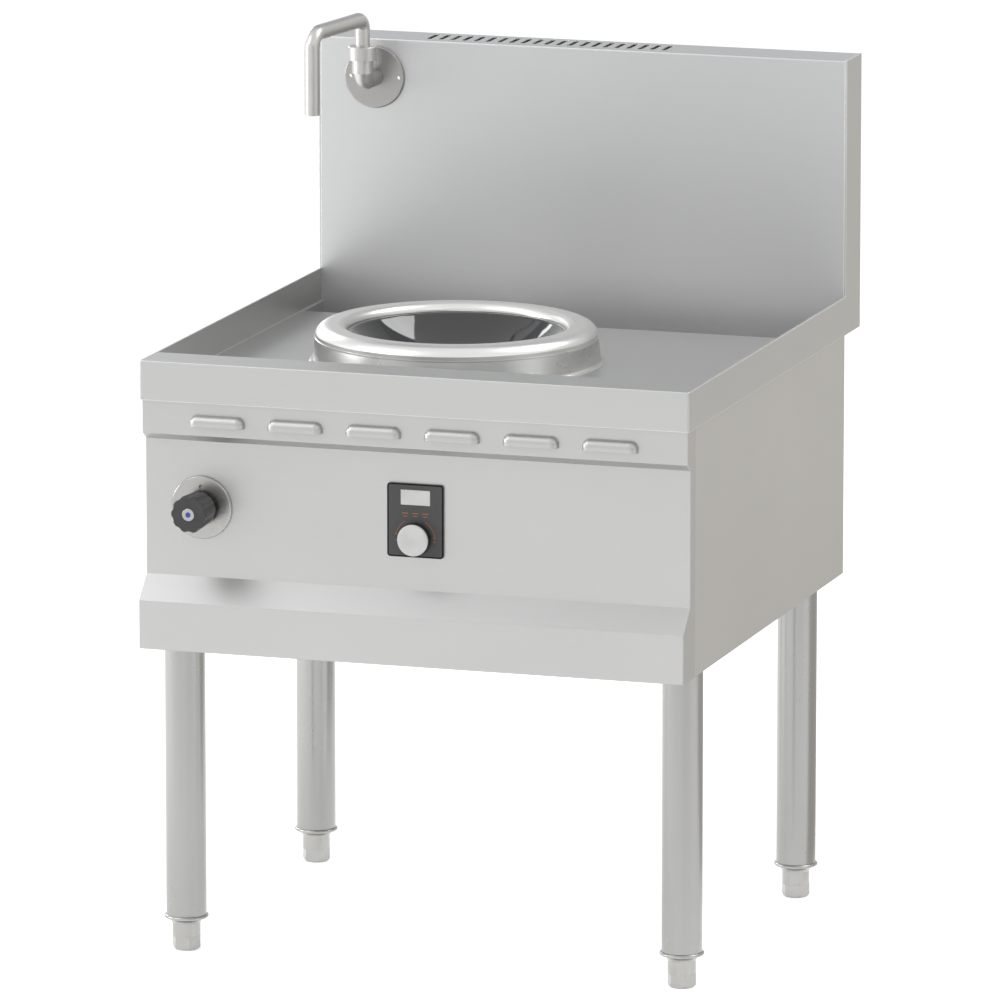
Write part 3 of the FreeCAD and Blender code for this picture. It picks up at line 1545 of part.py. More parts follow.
def make_valve_body():
    """Valve body behind the panel with a neck in front and a port above and below."""
    body = at_valve("valve_body")
    bore = spindle_radius + running_gap
    back = valve_depth
    half = sketch_on(body, "XY")
    outline(half, [
        corner(bore, fit_gap - wheel_back),
        corner(neck_radius, fit_gap - wheel_back),
        corner(neck_radius, case_sheet + fit_gap),
        corner(valve_nut_radius, case_sheet + fit_gap),
        corner(valve_nut_radius, valve_nut_end),
        corner(barrel_radius, valve_nut_end),
        corner(barrel_radius, back, barrel_rounding),
        corner(ZERO, back),
        corner(ZERO, back / 2),
        corner(bore, back / 2),
    ])
    turned(body, "barrel", half)
    port = sketch_on(body, "XY", y=valve_depth - port_inset, z=-port_reach)
    circle(port, ZERO, ZERO, neck_radius)
    pad(body, "ports", port, 2 * port_reach)


def make_valve_spindle():
    """Spindle that the handwheel turns."""
    body = at_valve("valve_spindle")
    half = sketch_on(body, "XY")
    outline(half, [
        corner(ZERO, valve_depth / 2 - spindle_end_gap),
        corner(spindle_radius, valve_depth / 2 - spindle_end_gap),
        corner(spindle_radius, wheel_front - wheel_reach),
        corner(ZERO, wheel_front - wheel_reach),
    ])
    turned(body, "spindle", half)


def make_handwheel():
    """Deep lobed handwheel with a domed face."""
    body = at_valve("handwheel")
    half = sketch_on(body, "XY")
    bore = spindle_radius
    cup = neck_radius + wheel_cup_gap
    blind = wheel_boss - wheel_reach
    front = -wheel_reach
    shoulder = wheel_rounding
    outline(half, [
        corner(cup, -wheel_back),
        corner(wheel_radius - wheel_back_bevel, -wheel_back),
        corner(wheel_radius, shoulder - wheel_reach),
        arc_to(wheel_radius - shoulder, front, shoulder, -1),
        corner(ZERO, front),
        corner(ZERO, wheel_front - wheel_reach),
        corner(bore, wheel_front - wheel_reach),
        corner(bore, blind),
        corner(cup, blind),
    ])
    turned(body, "blank", half)
    scallop = sketch_on(body, "XZ", y=wheel_back_bevel - wheel_back)
    circle(scallop, ZERO, wheel_radius + scallop_radius - scallop_depth, scallop_radius)
    cut = pocket(body, "scallop", scallop, wheel_depth + 2 * wheel_back_bevel, backwards=True)
    in_circle(body, "scallops", [cut], "Y", lobe_count)


def make_handwheel_cap():
    """Bright cap in the middle of the handwheel."""
    body = at_valve("handwheel_cap")
    half = sketch_on(body, "XY", y=-wheel_reach)
    outline(half, [
        corner(ZERO, ZERO),
        corner(wheel_cap_radius, ZERO),
        corner(wheel_cap_radius, -wheel_cap_height, wheel_cap_height * 0.6),
        corner(marker_radius, -wheel_cap_height),
        corner(marker_radius, -wheel_cap_height / 2),
        corner(ZERO, -wheel_cap_height / 2),
    ])
    turned(body, "cap", half)


def make_cold_marker():
    """Coloured disc in the cap that says cold water."""
    body = at_valve("cold_marker")
    half = sketch_on(body, "XY", y=-wheel_reach)
    rectangle(half, ZERO, marker_radius, -wheel_cap_height, -wheel_cap_height / 2)
    turned(body, "disc", half)


def make_riser_pipe():
    """Pipe from the valve's upper port to the tap's tail behind the splashback."""
    body = new_body("riser_pipe", x=tap_x)
    port_top = valve_height + port_reach
    route = sketch_on(body, "YZ")
    tail = riser_y - pipe_bend - pipe_joint
    outline(route, [
        corner(port_y, port_top),
        corner(port_y, riser_turn, pipe_bend),
        corner(riser_y, riser_turn, pipe_bend),
        corner(riser_y, tap_height, pipe_bend),
        corner(tail, tap_height),
    ], closed=False)
    ring = sketch_on(body, "XY", y=port_y, z=port_top)
    circle(ring, ZERO, ZERO, pipe_radius)
    circle(ring, ZERO, ZERO, pipe_radius - pipe_wall)
    sweep(body, "pipe", ring, route)


def make_inlet_pipe():
    """Pipe from the inlet union at the rear panel to the valve's lower port."""
    body = new_body("inlet_pipe", x=tap_x)
    port_low = valve_height - port_reach
    route = sketch_on(body, "YZ")
    outline(route, [
        corner(port_y, port_low),
        corner(port_y, inlet_height, pipe_bend),
        corner(case_depth - inlet_nut_length, inlet_height),
    ], closed=False)
    ring = sketch_on(body, "XY", y=port_y, z=port_low)
    circle(ring, ZERO, ZERO, pipe_radius)
    circle(ring, ZERO, ZERO, pipe_radius - pipe_wall)
    sweep(body, "pipe", ring, route)


def make_water_inlet():
    """Threaded union that passes the rear panel."""
    body = new_body("water_inlet", x=tap_x, y=rear_face, z=inlet_height)
    half = sketch_on(body, "XY")
    bore = pipe_radius - pipe_wall
    inner = case_depth - inlet_nut_length - rear_face
    nut = inlet_radius + inlet_wall
    outline(half, [
        corner(bore, inner),
        corner(nut, inner),
        corner(nut, -case_sheet),
        corner(inlet_radius, -case_sheet),
        corner(inlet_radius, ZERO),
        corner(nut, ZERO),
        corner(nut, inlet_collar),
        corner(inlet_radius, inlet_collar),
        corner(inlet_radius, inlet_collar + inlet_reach),
        corner(bore, inlet_collar + inlet_reach),
    ])
    turned(body, "union", half)


def make_cable_gland():
    """Gland for the supply cable in the rear panel."""
    body = new_body("cable_gland", x=gland_x, y=rear_face, z=gland_height)
    half = sketch_on(body, "XY")
    outline(half, [
        corner(gland_bore, -gland_inner),
        corner(gland_radius, -gland_inner),
        corner(gland_radius, ZERO),
        corner(gland_flange_radius, ZERO),
        corner(gland_flange_radius, gland_flange),
        corner(gland_cap_radius, gland_flange + gland_step),
        corner(gland_cap_radius, gland_outer, gland_rounding),
        corner(gland_bore, gland_outer),
    ])
    turned(body, "gland", half)


# ---------------------------------------------------------------- control panel

def make_control_bezel():
    """Moulded bezel with a recess for the display and posts for the board."""
    body = new_body("control_bezel", y=panel_face, z=bezel_centre)
    face = sketch_on(body, "XZ")
    rectangle(face, -bezel_width / 2, bezel_width / 2, -bezel_height / 2, bezel_height / 2,
              bezel_rounding)
    pad(body, "face", face, bezel_thickness)
    lap = bezel_lap + fit_gap
    rim = sketch_on(body, "XZ")
    rectangle(rim, lap - bezel_width / 2, bezel_width / 2 - lap,
              lap - bezel_height / 2, bezel_height / 2 - lap)
    wall = lap + bezel_wall
    rectangle(rim, wall - bezel_width / 2, bezel_width / 2 - wall,
              wall - bezel_height / 2, bezel_height / 2 - wall)
    pad(body, "rim", rim, board_depth, backwards=True)
    window = sketch_on(body, "XZ", y=-bezel_thickness)
    rectangle(window, -window_width / 2, window_width / 2,
              window_rise - window_height / 2, window_rise + window_height / 2,
              window_rounding)
    pocket(body, "window", window, window_sheet + fit_gap)
    hole = sketch_on(body, "XZ")
    circle(hole, ZERO, -knob_drop, bush_radius + fit_gap)
    pocket(body, "shaft_hole", hole, 4 * bezel_thickness, both_ways=True)


def make_display_lens():
    """Pale window of the display."""
    body = new_body("display_lens", y=panel_face - bezel_thickness, z=bezel_centre)
    face = sketch_on(body, "XZ", y=window_sheet + fit_gap)
    gap = fit_gap / 2
    rectangle(face, gap - window_width / 2, window_width / 2 - gap,
              window_rise - window_height / 2 + gap, window_rise + window_height / 2 - gap,
              window_rounding)
    pad(body, "lens", face, window_sheet)


def make_control_board():
    """Circuit board behind the bezel."""
    body = new_body("control_board", y=panel_face + board_depth, z=bezel_centre)
    plate = sketch_on(body, "XZ", y=board_sheet)
    lap = bezel_lap + fit_gap
    rectangle(plate, lap - bezel_width / 2, bezel_width / 2 - lap,
              lap - bezel_height / 2, bezel_height / 2 - lap, board_rounding)
    pad(body, "board", plate, board_sheet)
    hole = sketch_on(body, "XZ")
    circle(hole, ZERO, -knob_drop, bush_radius + fit_gap)
    pocket(body, "shaft_hole", hole, 4 * board_sheet, both_ways=True)


def at_knob(label):
    """A body on the power knob's axis with y = 0 on the bezel's face."""
    return new_body(label, y=panel_face - bezel_thickness, z=knob_axis_height)


def make_knob_encoder():
    """Encoder on the board with the bush that guides the knob's shaft."""
    body = at_knob("knob_encoder")
    deep = bezel_thickness + board_depth
    half = sketch_on(body, "XY")
    bore = knob_shaft_radius + running_gap
    outline(half, [
        corner(bore, ZERO),
        corner(bush_radius, ZERO),
        corner(bush_radius, deep + board_sheet),
        corner(encoder_radius, deep + board_sheet),
        corner(encoder_radius, deep + encoder_depth),
        corner(ZERO, deep + encoder_depth),
        corner(ZERO, deep + encoder_bore_end),
        corner(bore, deep + encoder_bore_end),
    ])
    turned(body, "encoder", half)


def make_power_knob():
    """Round dark body of the knob, behind its bright cap."""
    body = at_knob("power_knob")
    half = sketch_on(body, "XY")
    gap = fit_gap
    outline(half, [
        corner(knob_shaft_radius, -gap),
        corner(knob_radius, -gap),
        corner(knob_cap_radius, knob_cap_height - knob_height),
        corner(ZERO, knob_cap_height - knob_height),
        corner(ZERO, knob_boss - knob_height),
        corner(knob_shaft_radius, knob_boss - knob_height),
    ])
    turned(body, "knob", half)


def make_knob_cap():
    """Bright dished cap of the power knob."""
    body = at_knob("knob_cap")
    half = sketch_on(body, "XY", y=knob_cap_height - knob_height)
    wide = knob_dish_radius
    curve = (wide * wide + knob_dish_depth * knob_dish_depth) / (2 * knob_dish_depth)
    outline(half, [
        corner(ZERO, ZERO),
        corner(knob_cap_radius, ZERO),
        corner(knob_cap_radius, -knob_cap_height, knob_cap_height * 0.6),
        corner(wide, -knob_cap_height),
        arc_to(ZERO, knob_dish_depth - knob_cap_height, curve, 1),
    ])
    turned(body, "cap", half)


def make_knob_shaft():
    """Shaft between the knob and the encoder."""
    body = at_knob("knob_shaft")
    half = sketch_on(body, "XY")
    rectangle(half, ZERO, knob_shaft_radius, knob_boss - knob_height, bezel_thickness + board_depth
              + encoder_bore_end - shaft_end_gap)
    turned(body, "shaft", half)


# ---------------------------------------------------------------- the whole range

make_worktop()
make_splashback()
make_exhaust_duct()
make_front_fascia()
make_side_panel("side_panel_left", -1)
make_side_panel("side_panel_right", 1)
make_rear_panel()
make_rear_screws()
make_bottom_panel()
make_underframe()
for end, leg_y in (("front", leg_front), ("rear", leg_rear)):
    for hand, leg_x in (("left", -leg_spread), ("right", leg_spread)):
        make_leg("leg_%s_%s" % (end, hand), leg_x, leg_y)
        make_foot("foot_%s_%s" % (end, hand), leg_x, leg_y)
make_wok_collar()
make_trim_ring()
make_glass_bowl()
make_bowl_seal()
make_induction_coil()
make_coil_carrier()
make_carrier_studs()
make_ferrite_bars()
make_temperature_sensor()
make_generator_module()
make_fan_housing()
make_fan_rotor()
make_drain_outlet()
make_drain_strainer()
make_tap_flange()
make_tap_elbow()
make_spout_nut()
make_spout()
make_valve_rose()
make_valve_body()
make_valve_spindle()
make_handwheel()
make_handwheel_cap()
make_cold_marker()
make_riser_pipe()
make_inlet_pipe()
make_water_inlet()
make_cable_gland()
make_control_bezel()
make_display_lens()
make_control_board()
make_knob_encoder()
make_power_knob()
make_knob_cap()
make_knob_shaft()

document.recompute()
failed = [item.Name for item in document.Objects
          if "Invalid" in item.State or "Error" in item.State]
failed += [part.Label for part in sub_parts
           if part.Shape.isNull() or not part.Shape.isValid()]
if failed:
    raise RuntimeError("These did not build: " + ", ".join(failed))

os.makedirs("parts", exist_ok=True)
for part in sub_parts:
    part.Shape.exportStep(os.path.join("parts", part.Label + ".step"))
    print("%-22s %2d solid %10.0f mm3" % (part.Label, len(part.Shape.Solids), part.Shape.Volume))
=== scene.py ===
# %% [markdown]
# # A catering wok range in stainless steel
# The real range is a folded steel case on four round legs. A sunken deck holds a spun collar and a
# glass bowl, a tall splashback stands behind, and a swivel tap fills the wok. The main shapes come
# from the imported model, so this lesson dresses them: camera, finishes, and the wound, printed,
# punched and fastened details that a maker adds last.

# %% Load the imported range
import math

import bpy
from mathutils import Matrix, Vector


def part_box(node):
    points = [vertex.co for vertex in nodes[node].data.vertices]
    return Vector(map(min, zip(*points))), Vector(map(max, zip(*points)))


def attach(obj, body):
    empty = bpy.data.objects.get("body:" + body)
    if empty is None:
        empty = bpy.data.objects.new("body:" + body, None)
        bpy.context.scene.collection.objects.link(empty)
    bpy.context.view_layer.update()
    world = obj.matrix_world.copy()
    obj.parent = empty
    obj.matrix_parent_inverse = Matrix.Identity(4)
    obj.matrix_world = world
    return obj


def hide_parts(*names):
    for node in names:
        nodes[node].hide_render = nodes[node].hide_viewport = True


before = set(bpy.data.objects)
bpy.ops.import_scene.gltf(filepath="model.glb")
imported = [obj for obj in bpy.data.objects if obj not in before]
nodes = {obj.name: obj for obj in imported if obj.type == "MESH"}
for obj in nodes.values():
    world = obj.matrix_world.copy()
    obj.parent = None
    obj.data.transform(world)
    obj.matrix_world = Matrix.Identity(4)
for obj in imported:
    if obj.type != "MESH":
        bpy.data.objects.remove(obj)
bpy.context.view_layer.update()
print("pieces in the range:", len(nodes))

# %% [markdown]
# ## Camera
# The photograph was taken from far away with a long lens, a little right of the middle and a little
# above, so upright edges stay almost parallel. The place and the two angles below were solved from
# edges of known length; the lens follows from the same fit.

# %% Camera
camera_place = Vector((4.3868, -13.6884, 3.4712))
camera_turn = 0.31032
camera_tilt = 0.19658
lens_mm = 370.8
sensor_mm = 36
view_limit = 60

lens = bpy.data.cameras.new("studio_camera")
lens.sensor_width = sensor_mm
lens.lens = lens_mm
lens.clip_end = view_limit
camera = bpy.data.objects.new("studio_camera", lens)
camera.location = camera_place
camera.rotation_euler = (math.pi / 2 - camera_tilt, 0, camera_turn)
bpy.context.scene.collection.objects.link(camera)
bpy.context.scene.camera = camera
bpy.context.scene.view_settings.view_transform = "Standard"

# %% [markdown]
# ## Node helpers
# Every finish and every repeated piece here is a small node tree. One helper adds a node and fills
# its sockets: a plain value sets the socket, and another node's output is linked to it. It works in
# shader trees and in geometry trees alike.

# %% Node helpers
NUMBER, WHOLE, VECTOR = "NodeSocketFloat", "NodeSocketInt", "NodeSocketVector"
FINISH, MESH = "NodeSocketMaterial", "NodeSocketGeometry"
UPRIGHT = (math.pi / 2, 0.0, 0.0)


def add_node(tree, kind, sockets=None, **settings):
    """Adds a node; each socket gets a value or a link."""
    node = tree.nodes.new(kind)
    for key, value in settings.items():
        setattr(node, key, value)
    for key, value in (sockets or {}).items():
        if isinstance(value, bpy.types.NodeSocket):
            tree.links.new(value, node.inputs[key])
        else:
            node.inputs[key].default_value = value
    return node


def do_math(tree, operation, first, second=0.0):
    """One step of arithmetic on two numbers."""
    return add_node(tree, "ShaderNodeMath", {0: first, 1: second}, operation=operation).outputs[0]


def start_group(kind, name, inputs, outputs):
    """A node group with named inputs (name, kind, value) and outputs (name, kind)."""
    group = bpy.data.node_groups.new(name, kind)
    for label, socket_kind, value in inputs:
        socket = group.interface.new_socket(label, in_out="INPUT", socket_type=socket_kind)
        if value is not None:
            socket.default_value = value
    for label, socket_kind in outputs:
        group.interface.new_socket(label, in_out="OUTPUT", socket_type=socket_kind)
    given = group.nodes.new("NodeGroupInput").outputs
    return group, given, group.nodes.new("NodeGroupOutput").inputs


# %% [markdown]
# ## Starting a finish
# A finish starts from the Principled BSDF. Numbers that are the same all over the surface sit on
# the shader's own sockets; only what changes over the surface comes from other nodes. Patterns read
# Object coordinates, so they stay on the piece when it turns or is copied.

# %% Starting a finish
def grey(value):
    """The same value in red, green and blue."""
    return (value, value, value, 1.0)


WHITE = grey(1.0)


def start_material(name, **constants):
    """A material whose Principled BSDF has these constants on its own sockets."""
    material = bpy.data.materials.new(name)
    material.use_nodes = True
    tree = material.node_tree
    shader = tree.nodes["Principled BSDF"]
    for key, value in constants.items():
        shader.inputs[key.replace("_", " ")].default_value = value
    return material, tree, shader


def piece_coordinates(tree, stretch=(1, 1, 1), centre=(0, 0, 0)):
    """Object coordinates, moved to a centre and stretched along an axis."""
    source = add_node(tree, "ShaderNodeTexCoord")
    return add_node(tree, "ShaderNodeMapping", {
        "Vector": source.outputs["Object"],
        "Location": [-c * s for c, s in zip(centre, stretch)],
        "Scale": stretch,
    }).outputs["Vector"]


# %% [markdown]
# ## Shared effects
# Three effects come back in many finishes, so each is a node group. Brushed grain is noise that the
# material stretches along the grinding direction, with a sandy grain on top. Handling marks are
# soft clouds where hands and cloths have changed the shine. Mould grain is the fine leathery
# texture of plastic.

# %% Shared effects
def make_brushed_grain():
    """Belt lines and a sandy grain added up; the coarse lines also shade the colour."""
    belt_share = 0.15
    group, given, result = start_group(
        "ShaderNodeTree", "brushed_grain",
        [("Vector", VECTOR, None), ("Place", VECTOR, None), ("Fine", NUMBER, 1.0),
         ("Coarse", NUMBER, 0.2), ("Sand", NUMBER, 900.0)],
        [("Height", NUMBER), ("Shade", NUMBER)])
    fine = add_node(group, "ShaderNodeTexNoise", {
        "Vector": given["Vector"], "Scale": given["Fine"], "Detail": 2.0, "Roughness": 0.6})
    coarse = add_node(group, "ShaderNodeTexNoise", {
        "Vector": given["Vector"], "Scale": given["Coarse"], "Detail": 3.0, "Roughness": 0.5})
    sand = add_node(group, "ShaderNodeTexNoise", {
        "Vector": given["Place"], "Scale": given["Sand"], "Detail": 1.0, "Roughness": 0.5})
    belt = do_math(group, "ADD", fine.outputs["Fac"], coarse.outputs["Fac"])
    belt = do_math(group, "MULTIPLY", belt, belt_share)
    both = do_math(group, "ADD", belt, sand.outputs["Fac"])
    group.links.new(both, result["Height"])
    group.links.new(coarse.outputs["Fac"], result["Shade"])
    return group


def make_handling_marks():
    """Clouds as a mask, and the same clouds between a low and a high value."""
    group, given, result = start_group(
        "ShaderNodeTree", "handling_marks",
        [("Vector", VECTOR, None), ("Size", NUMBER, 6.0), ("Low", NUMBER, 0.35),
         ("High", NUMBER, 0.5)],
        [("Value", NUMBER), ("Mask", NUMBER)])
    clouds = add_node(group, "ShaderNodeTexNoise", {
        "Vector": given["Vector"], "Scale": given["Size"], "Detail": 5.0, "Roughness": 0.5,
        "Distortion": 0.4})
    mask = add_node(group, "ShaderNodeMapRange", {
        "Value": clouds.outputs["Fac"], "From Min": 0.32, "From Max": 0.70})
    value = add_node(group, "ShaderNodeMapRange", {
        "Value": mask.outputs["Result"], "To Min": given["Low"], "To Max": given["High"]})
    group.links.new(value.outputs["Result"], result["Value"])
    group.links.new(mask.outputs["Result"], result["Mask"])
    return group


def make_mould_grain():
    """Small rounded cells with specks on them."""
    group, given, result = start_group(
        "ShaderNodeTree", "mould_grain",
        [("Vector", VECTOR, None), ("Scale", NUMBER, 1800.0)],
        [("Height", NUMBER)])
    cells = add_node(group, "ShaderNodeTexVoronoi", {
        "Vector": given["Vector"], "Scale": given["Scale"]}, feature="SMOOTH_F1")
    specks = add_node(group, "ShaderNodeTexNoise", {
        "Vector": given["Vector"], "Scale": given["Scale"], "Detail": 3.0})
    both = do_math(group, "ADD", cells.outputs["Distance"], specks.outputs["Fac"])
    group.links.new(both, result["Height"])
    return group


brushed_grain = make_brushed_grain()
handling_marks = make_handling_marks()
mould_grain = make_mould_grain()
print("shared effects:", [group.name for group in bpy.data.node_groups])


# %% Using an effect
def use_group(tree, group, sockets, kind="ShaderNodeGroup"):
    """Places a node group in a tree with its own values."""
    return add_node(tree, kind, sockets, node_tree=group).outputs


def bump(tree, height, depth, edge=0.0):
    """A bump of this depth in metres, over edges that are softened by a radius."""
    node = add_node(tree, "ShaderNodeBump", {"Height": height, "Distance": depth, "Strength": 1.0})
    if edge:
        soft = add_node(tree, "ShaderNodeBevel", {"Radius": edge}, samples=3)
        tree.links.new(soft.outputs["Normal"], node.inputs["Normal"])
    return node.outputs["Normal"]


def edge_mask(tree, radius):
    """1 close to a sharp edge and 0 on flat sheet, from how far the edge normal turns."""
    soft = add_node(tree, "ShaderNodeBevel", {"Radius": radius}, samples=4)
    flat = add_node(tree, "ShaderNodeNewGeometry")
    same = add_node(tree, "ShaderNodeVectorMath", {
        0: soft.outputs["Normal"], 1: flat.outputs["Normal"]}, operation="DOT_PRODUCT")
    return add_node(tree, "ShaderNodeMapRange", {
        "Value": same.outputs["Value"], "From Min": 0.995, "From Max": 0.93}).outputs["Result"]


FIRST_COLOUR, SECOND_COLOUR, MIXED_COLOUR = 6, 7, 2


def mixed(tree, factor, first, second):
    """Two colours, or sockets that give colours, mixed by a factor."""
    return add_node(tree, "ShaderNodeMix", {
        "Factor": factor, FIRST_COLOUR: first, SECOND_COLOUR: second},
        data_type="RGBA").outputs[MIXED_COLOUR]


def tinted(tree, mask, colour, other):
    """A colour that drifts to another one where the mask is high."""
    return mixed(tree, mask, (*colour, 1.0), (*other, 1.0))


def wire_up(tree, shader, colour, roughness, normal=None):
    """Leads colour, roughness and normal into the shader."""
    tree.links.new(colour, shader.inputs["Base Color"])
    tree.links.new(roughness, shader.inputs["Roughness"])
    if normal:
        tree.links.new(normal, shader.inputs["Normal"])


# %% [markdown]
# ## Sheet steel
# Catering steel is ground along the sheet with a fine belt. The lines are too fine to see from a
# few steps away, but they spread the reflection, so the sheet looks like soft grey satin. The grain
# runs along X on front, deck and splashback, along Y on the sides and upright on the legs. Handling
# marks change the shine a little. On the deck and the splashback the sharp edges are painted
# whiter, a painted highlight where a bent edge would catch the light.

# %% Sheet steel
def brushed_steel(name, colour, roughness, stretch, depth=2.2e-5, edge=0.0010, edge_highlight_strength=0.0):
    """Satin sheet with its grain along one axis, soft marks of use and painted edge highlights."""
    material, tree, shader = start_material(name, Metallic=1.0)
    place = piece_coordinates(tree)
    grain = use_group(tree, brushed_grain, {
        "Vector": piece_coordinates(tree, stretch), "Place": place, "Fine": 1.0, "Coarse": 0.12})
    marks = use_group(tree, handling_marks, {
        "Vector": place, "Size": 2.5,
        "Low": roughness - 0.015, "High": roughness + 0.02})
    shade = do_math(tree, "MULTIPLY", grain["Shade"], marks["Mask"])
    tone = tinted(tree, shade, colour, [c * 0.94 for c in colour])
    # Near sharp edges the colour is mixed toward white: a painted highlight along the edges.
    if edge_highlight_strength:
        painted_edge_highlight = do_math(tree, "MULTIPLY", edge_mask(tree, 1.5 * edge), edge_highlight_strength)
        tone = mixed(tree, painted_edge_highlight, tone, WHITE)
    wire_up(tree, shader, tone, marks["Value"], bump(tree, grain["Height"], depth, edge))
    return material


across_lines = 2600
on_lines = 12
along_x = (on_lines, across_lines, across_lines)
along_y = (across_lines, on_lines, across_lines)
along_z = (across_lines, across_lines, on_lines)
# One steel in five copies: its colour is set per part as painted light and shade, the splashback
# and sides lighter than the front and deck, the sides a warmer grey, the legs darker.
front_steel = brushed_steel("front_steel", (0.505, 0.505, 0.50), 0.42, along_x)
deck_steel = brushed_steel("deck_steel", (0.515, 0.515, 0.51), 0.38, along_x, edge_highlight_strength=0.9)
back_steel = brushed_steel("back_steel", (0.575, 0.58, 0.58), 0.46, along_x, edge_highlight_strength=0.8)
side_steel = brushed_steel("side_steel", (0.56, 0.555, 0.54), 0.44, along_y)
leg_steel = brushed_steel("leg_steel", (0.375, 0.375, 0.365), 0.28, along_z)

# %% [markdown]
# ## Spun steel
# The collar and the ring turn on a lathe while a roller presses them, and are then polished the
# same way. Their lines run in circles round the bowl's axis, so the noise reads the distance from
# that axis and the height above it instead of X, Y and Z.

# %% Spun steel
ring_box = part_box("trim_ring")
bowl_axis = Vector((sum(corner[0] for corner in ring_box) / 2,
                    sum(corner[1] for corner in ring_box) / 2, 0))
print("bowl axis at", tuple(round(value, 4) for value in bowl_axis[:2]))


def turned_steel(name, colour, roughness, pitch=2200, depth=1e-5, edge=0.0005):
    """Steel with fine lines in circles round the bowl's axis."""
    material, tree, shader = start_material(name, Metallic=1.0)
    local = piece_coordinates(tree, centre=bowl_axis)
    parts = add_node(tree, "ShaderNodeSeparateXYZ", {"Vector": local}).outputs
    flat = add_node(tree, "ShaderNodeCombineXYZ", {"X": parts["X"], "Y": parts["Y"]})
    radius = add_node(tree, "ShaderNodeVectorMath", {0: flat.outputs[0]}, operation="LENGTH")
    rings = add_node(tree, "ShaderNodeCombineXYZ", {
        "X": radius.outputs["Value"], "Y": parts["Z"]})
    grain = use_group(tree, brushed_grain, {
        "Vector": rings.outputs["Vector"], "Place": local, "Fine": pitch, "Coarse": pitch / 9})
    marks = use_group(tree, handling_marks, {
        "Vector": local, "Size": 9.0, "Low": roughness - 0.03, "High": roughness + 0.05})
    tone = tinted(tree, grain["Shade"], colour, [c * 0.93 for c in colour])
    wire_up(tree, shader, tone, marks["Value"], bump(tree, grain["Height"], depth, edge))
    return material


ring_steel = turned_steel("ring_steel", (0.76, 0.76, 0.745), 0.32)
collar_steel = turned_steel("collar_steel", (0.66, 0.66, 0.65), 0.28)

# %% [markdown]
# ## Zinc sheet
# The panels that nobody looks at are galvanised. Zinc freezes in flat crystals, so each cell of a
# Voronoi pattern gets its own shade.

# %% Zinc sheet
def zinc_sheet(name):
    """Galvanised sheet with a spangle of flat crystals."""
    material, tree, shader = start_material(name, Metallic=1.0)
    coordinates = piece_coordinates(tree)
    spangle = add_node(tree, "ShaderNodeTexVoronoi", {
        "Vector": coordinates, "Scale": 90.0, "Randomness": 1.0})
    shade = add_node(tree, "ShaderNodeSeparateXYZ", {"Vector": spangle.outputs["Color"]})
    marks = use_group(tree, handling_marks, {
        "Vector": coordinates, "Size": 7.0, "Low": 0.42, "High": 0.58})
    tone = tinted(tree, shade.outputs["X"], (0.50, 0.52, 0.54), (0.62, 0.64, 0.66))
    wire_up(tree, shader, tone, marks["Value"], bump(tree, spangle.outputs["Distance"], 1e-5))
    return material


zinc = zinc_sheet("zinc")

# %% [markdown]
# ## Chrome, copper and brass
# The tap is a brass casting under satin chrome. Copper pipes and brass fittings behind the panels
# keep their own colour and go dull in patches. All are one recipe with other colours.

# %% Small metals
def plain_metal(name, colour, other, low, high, size=22.0, depth=3e-6, edge=0.0005):
    """Metal without a grain direction, duller in patches."""
    material, tree, shader = start_material(name, Metallic=1.0)
    coordinates = piece_coordinates(tree)
    marks = use_group(tree, handling_marks, {
        "Vector": coordinates, "Size": size, "Low": low, "High": high})
    ripple = add_node(tree, "ShaderNodeTexNoise", {
        "Vector": coordinates, "Scale": 1500.0, "Detail": 2.0})
    wire_up(tree, shader, tinted(tree, marks["Mask"], colour, other), marks["Value"],
            bump(tree, ripple.outputs["Fac"], depth, edge))
    return material


tap_chrome = plain_metal("tap_chrome", (0.56, 0.555, 0.54), (0.53, 0.525, 0.51), 0.37, 0.41)
flange_chrome = plain_metal(
    "flange_chrome", (0.38, 0.375, 0.365), (0.36, 0.355, 0.345), 0.32, 0.36)
foot_chrome = plain_metal("foot_chrome", (0.43, 0.425, 0.41), (0.41, 0.405, 0.39), 0.26, 0.30)
cap_chrome = plain_metal("cap_chrome", (0.42, 0.42, 0.42), (0.40, 0.40, 0.40), 0.24, 0.30)
copper = plain_metal("copper", (0.70, 0.36, 0.20), (0.50, 0.25, 0.15), 0.22, 0.40)
brass = plain_metal("brass", (0.72, 0.56, 0.26), (0.60, 0.46, 0.22), 0.25, 0.38)
turned_metal = plain_metal("turned_metal", (0.60, 0.60, 0.60), (0.54, 0.54, 0.54), 0.28, 0.36)

# %% [markdown]
# ## Plastics, rubber and board
# Moulded plastic has a fine leathery grain and a dull, even shine. One recipe makes them all, with
# a coat only where the real piece is glossy.

# %% Moulded pieces
def moulded(name, colour, roughness, grain_scale=1600.0, depth=1.2e-5, coat=0.0, edge=0.0,
            shine=0.5):
    """Moulded or fired material with a fine grain."""
    material, tree, shader = start_material(
        name, Coat_Weight=coat, Coat_Roughness=0.08, Specular_IOR_Level=shine)
    coordinates = piece_coordinates(tree)
    grain = use_group(tree, mould_grain, {"Vector": coordinates, "Scale": grain_scale})
    marks = use_group(tree, handling_marks, {
        "Vector": coordinates, "Size": 45.0, "Low": roughness - 0.04, "High": roughness + 0.06})
    lighter = [min(1.0, c * 1.12 + 0.003) for c in colour]
    wire_up(tree, shader, tinted(tree, marks["Mask"], colour, lighter), marks["Value"],
            bump(tree, grain["Height"], depth, edge))
    return material


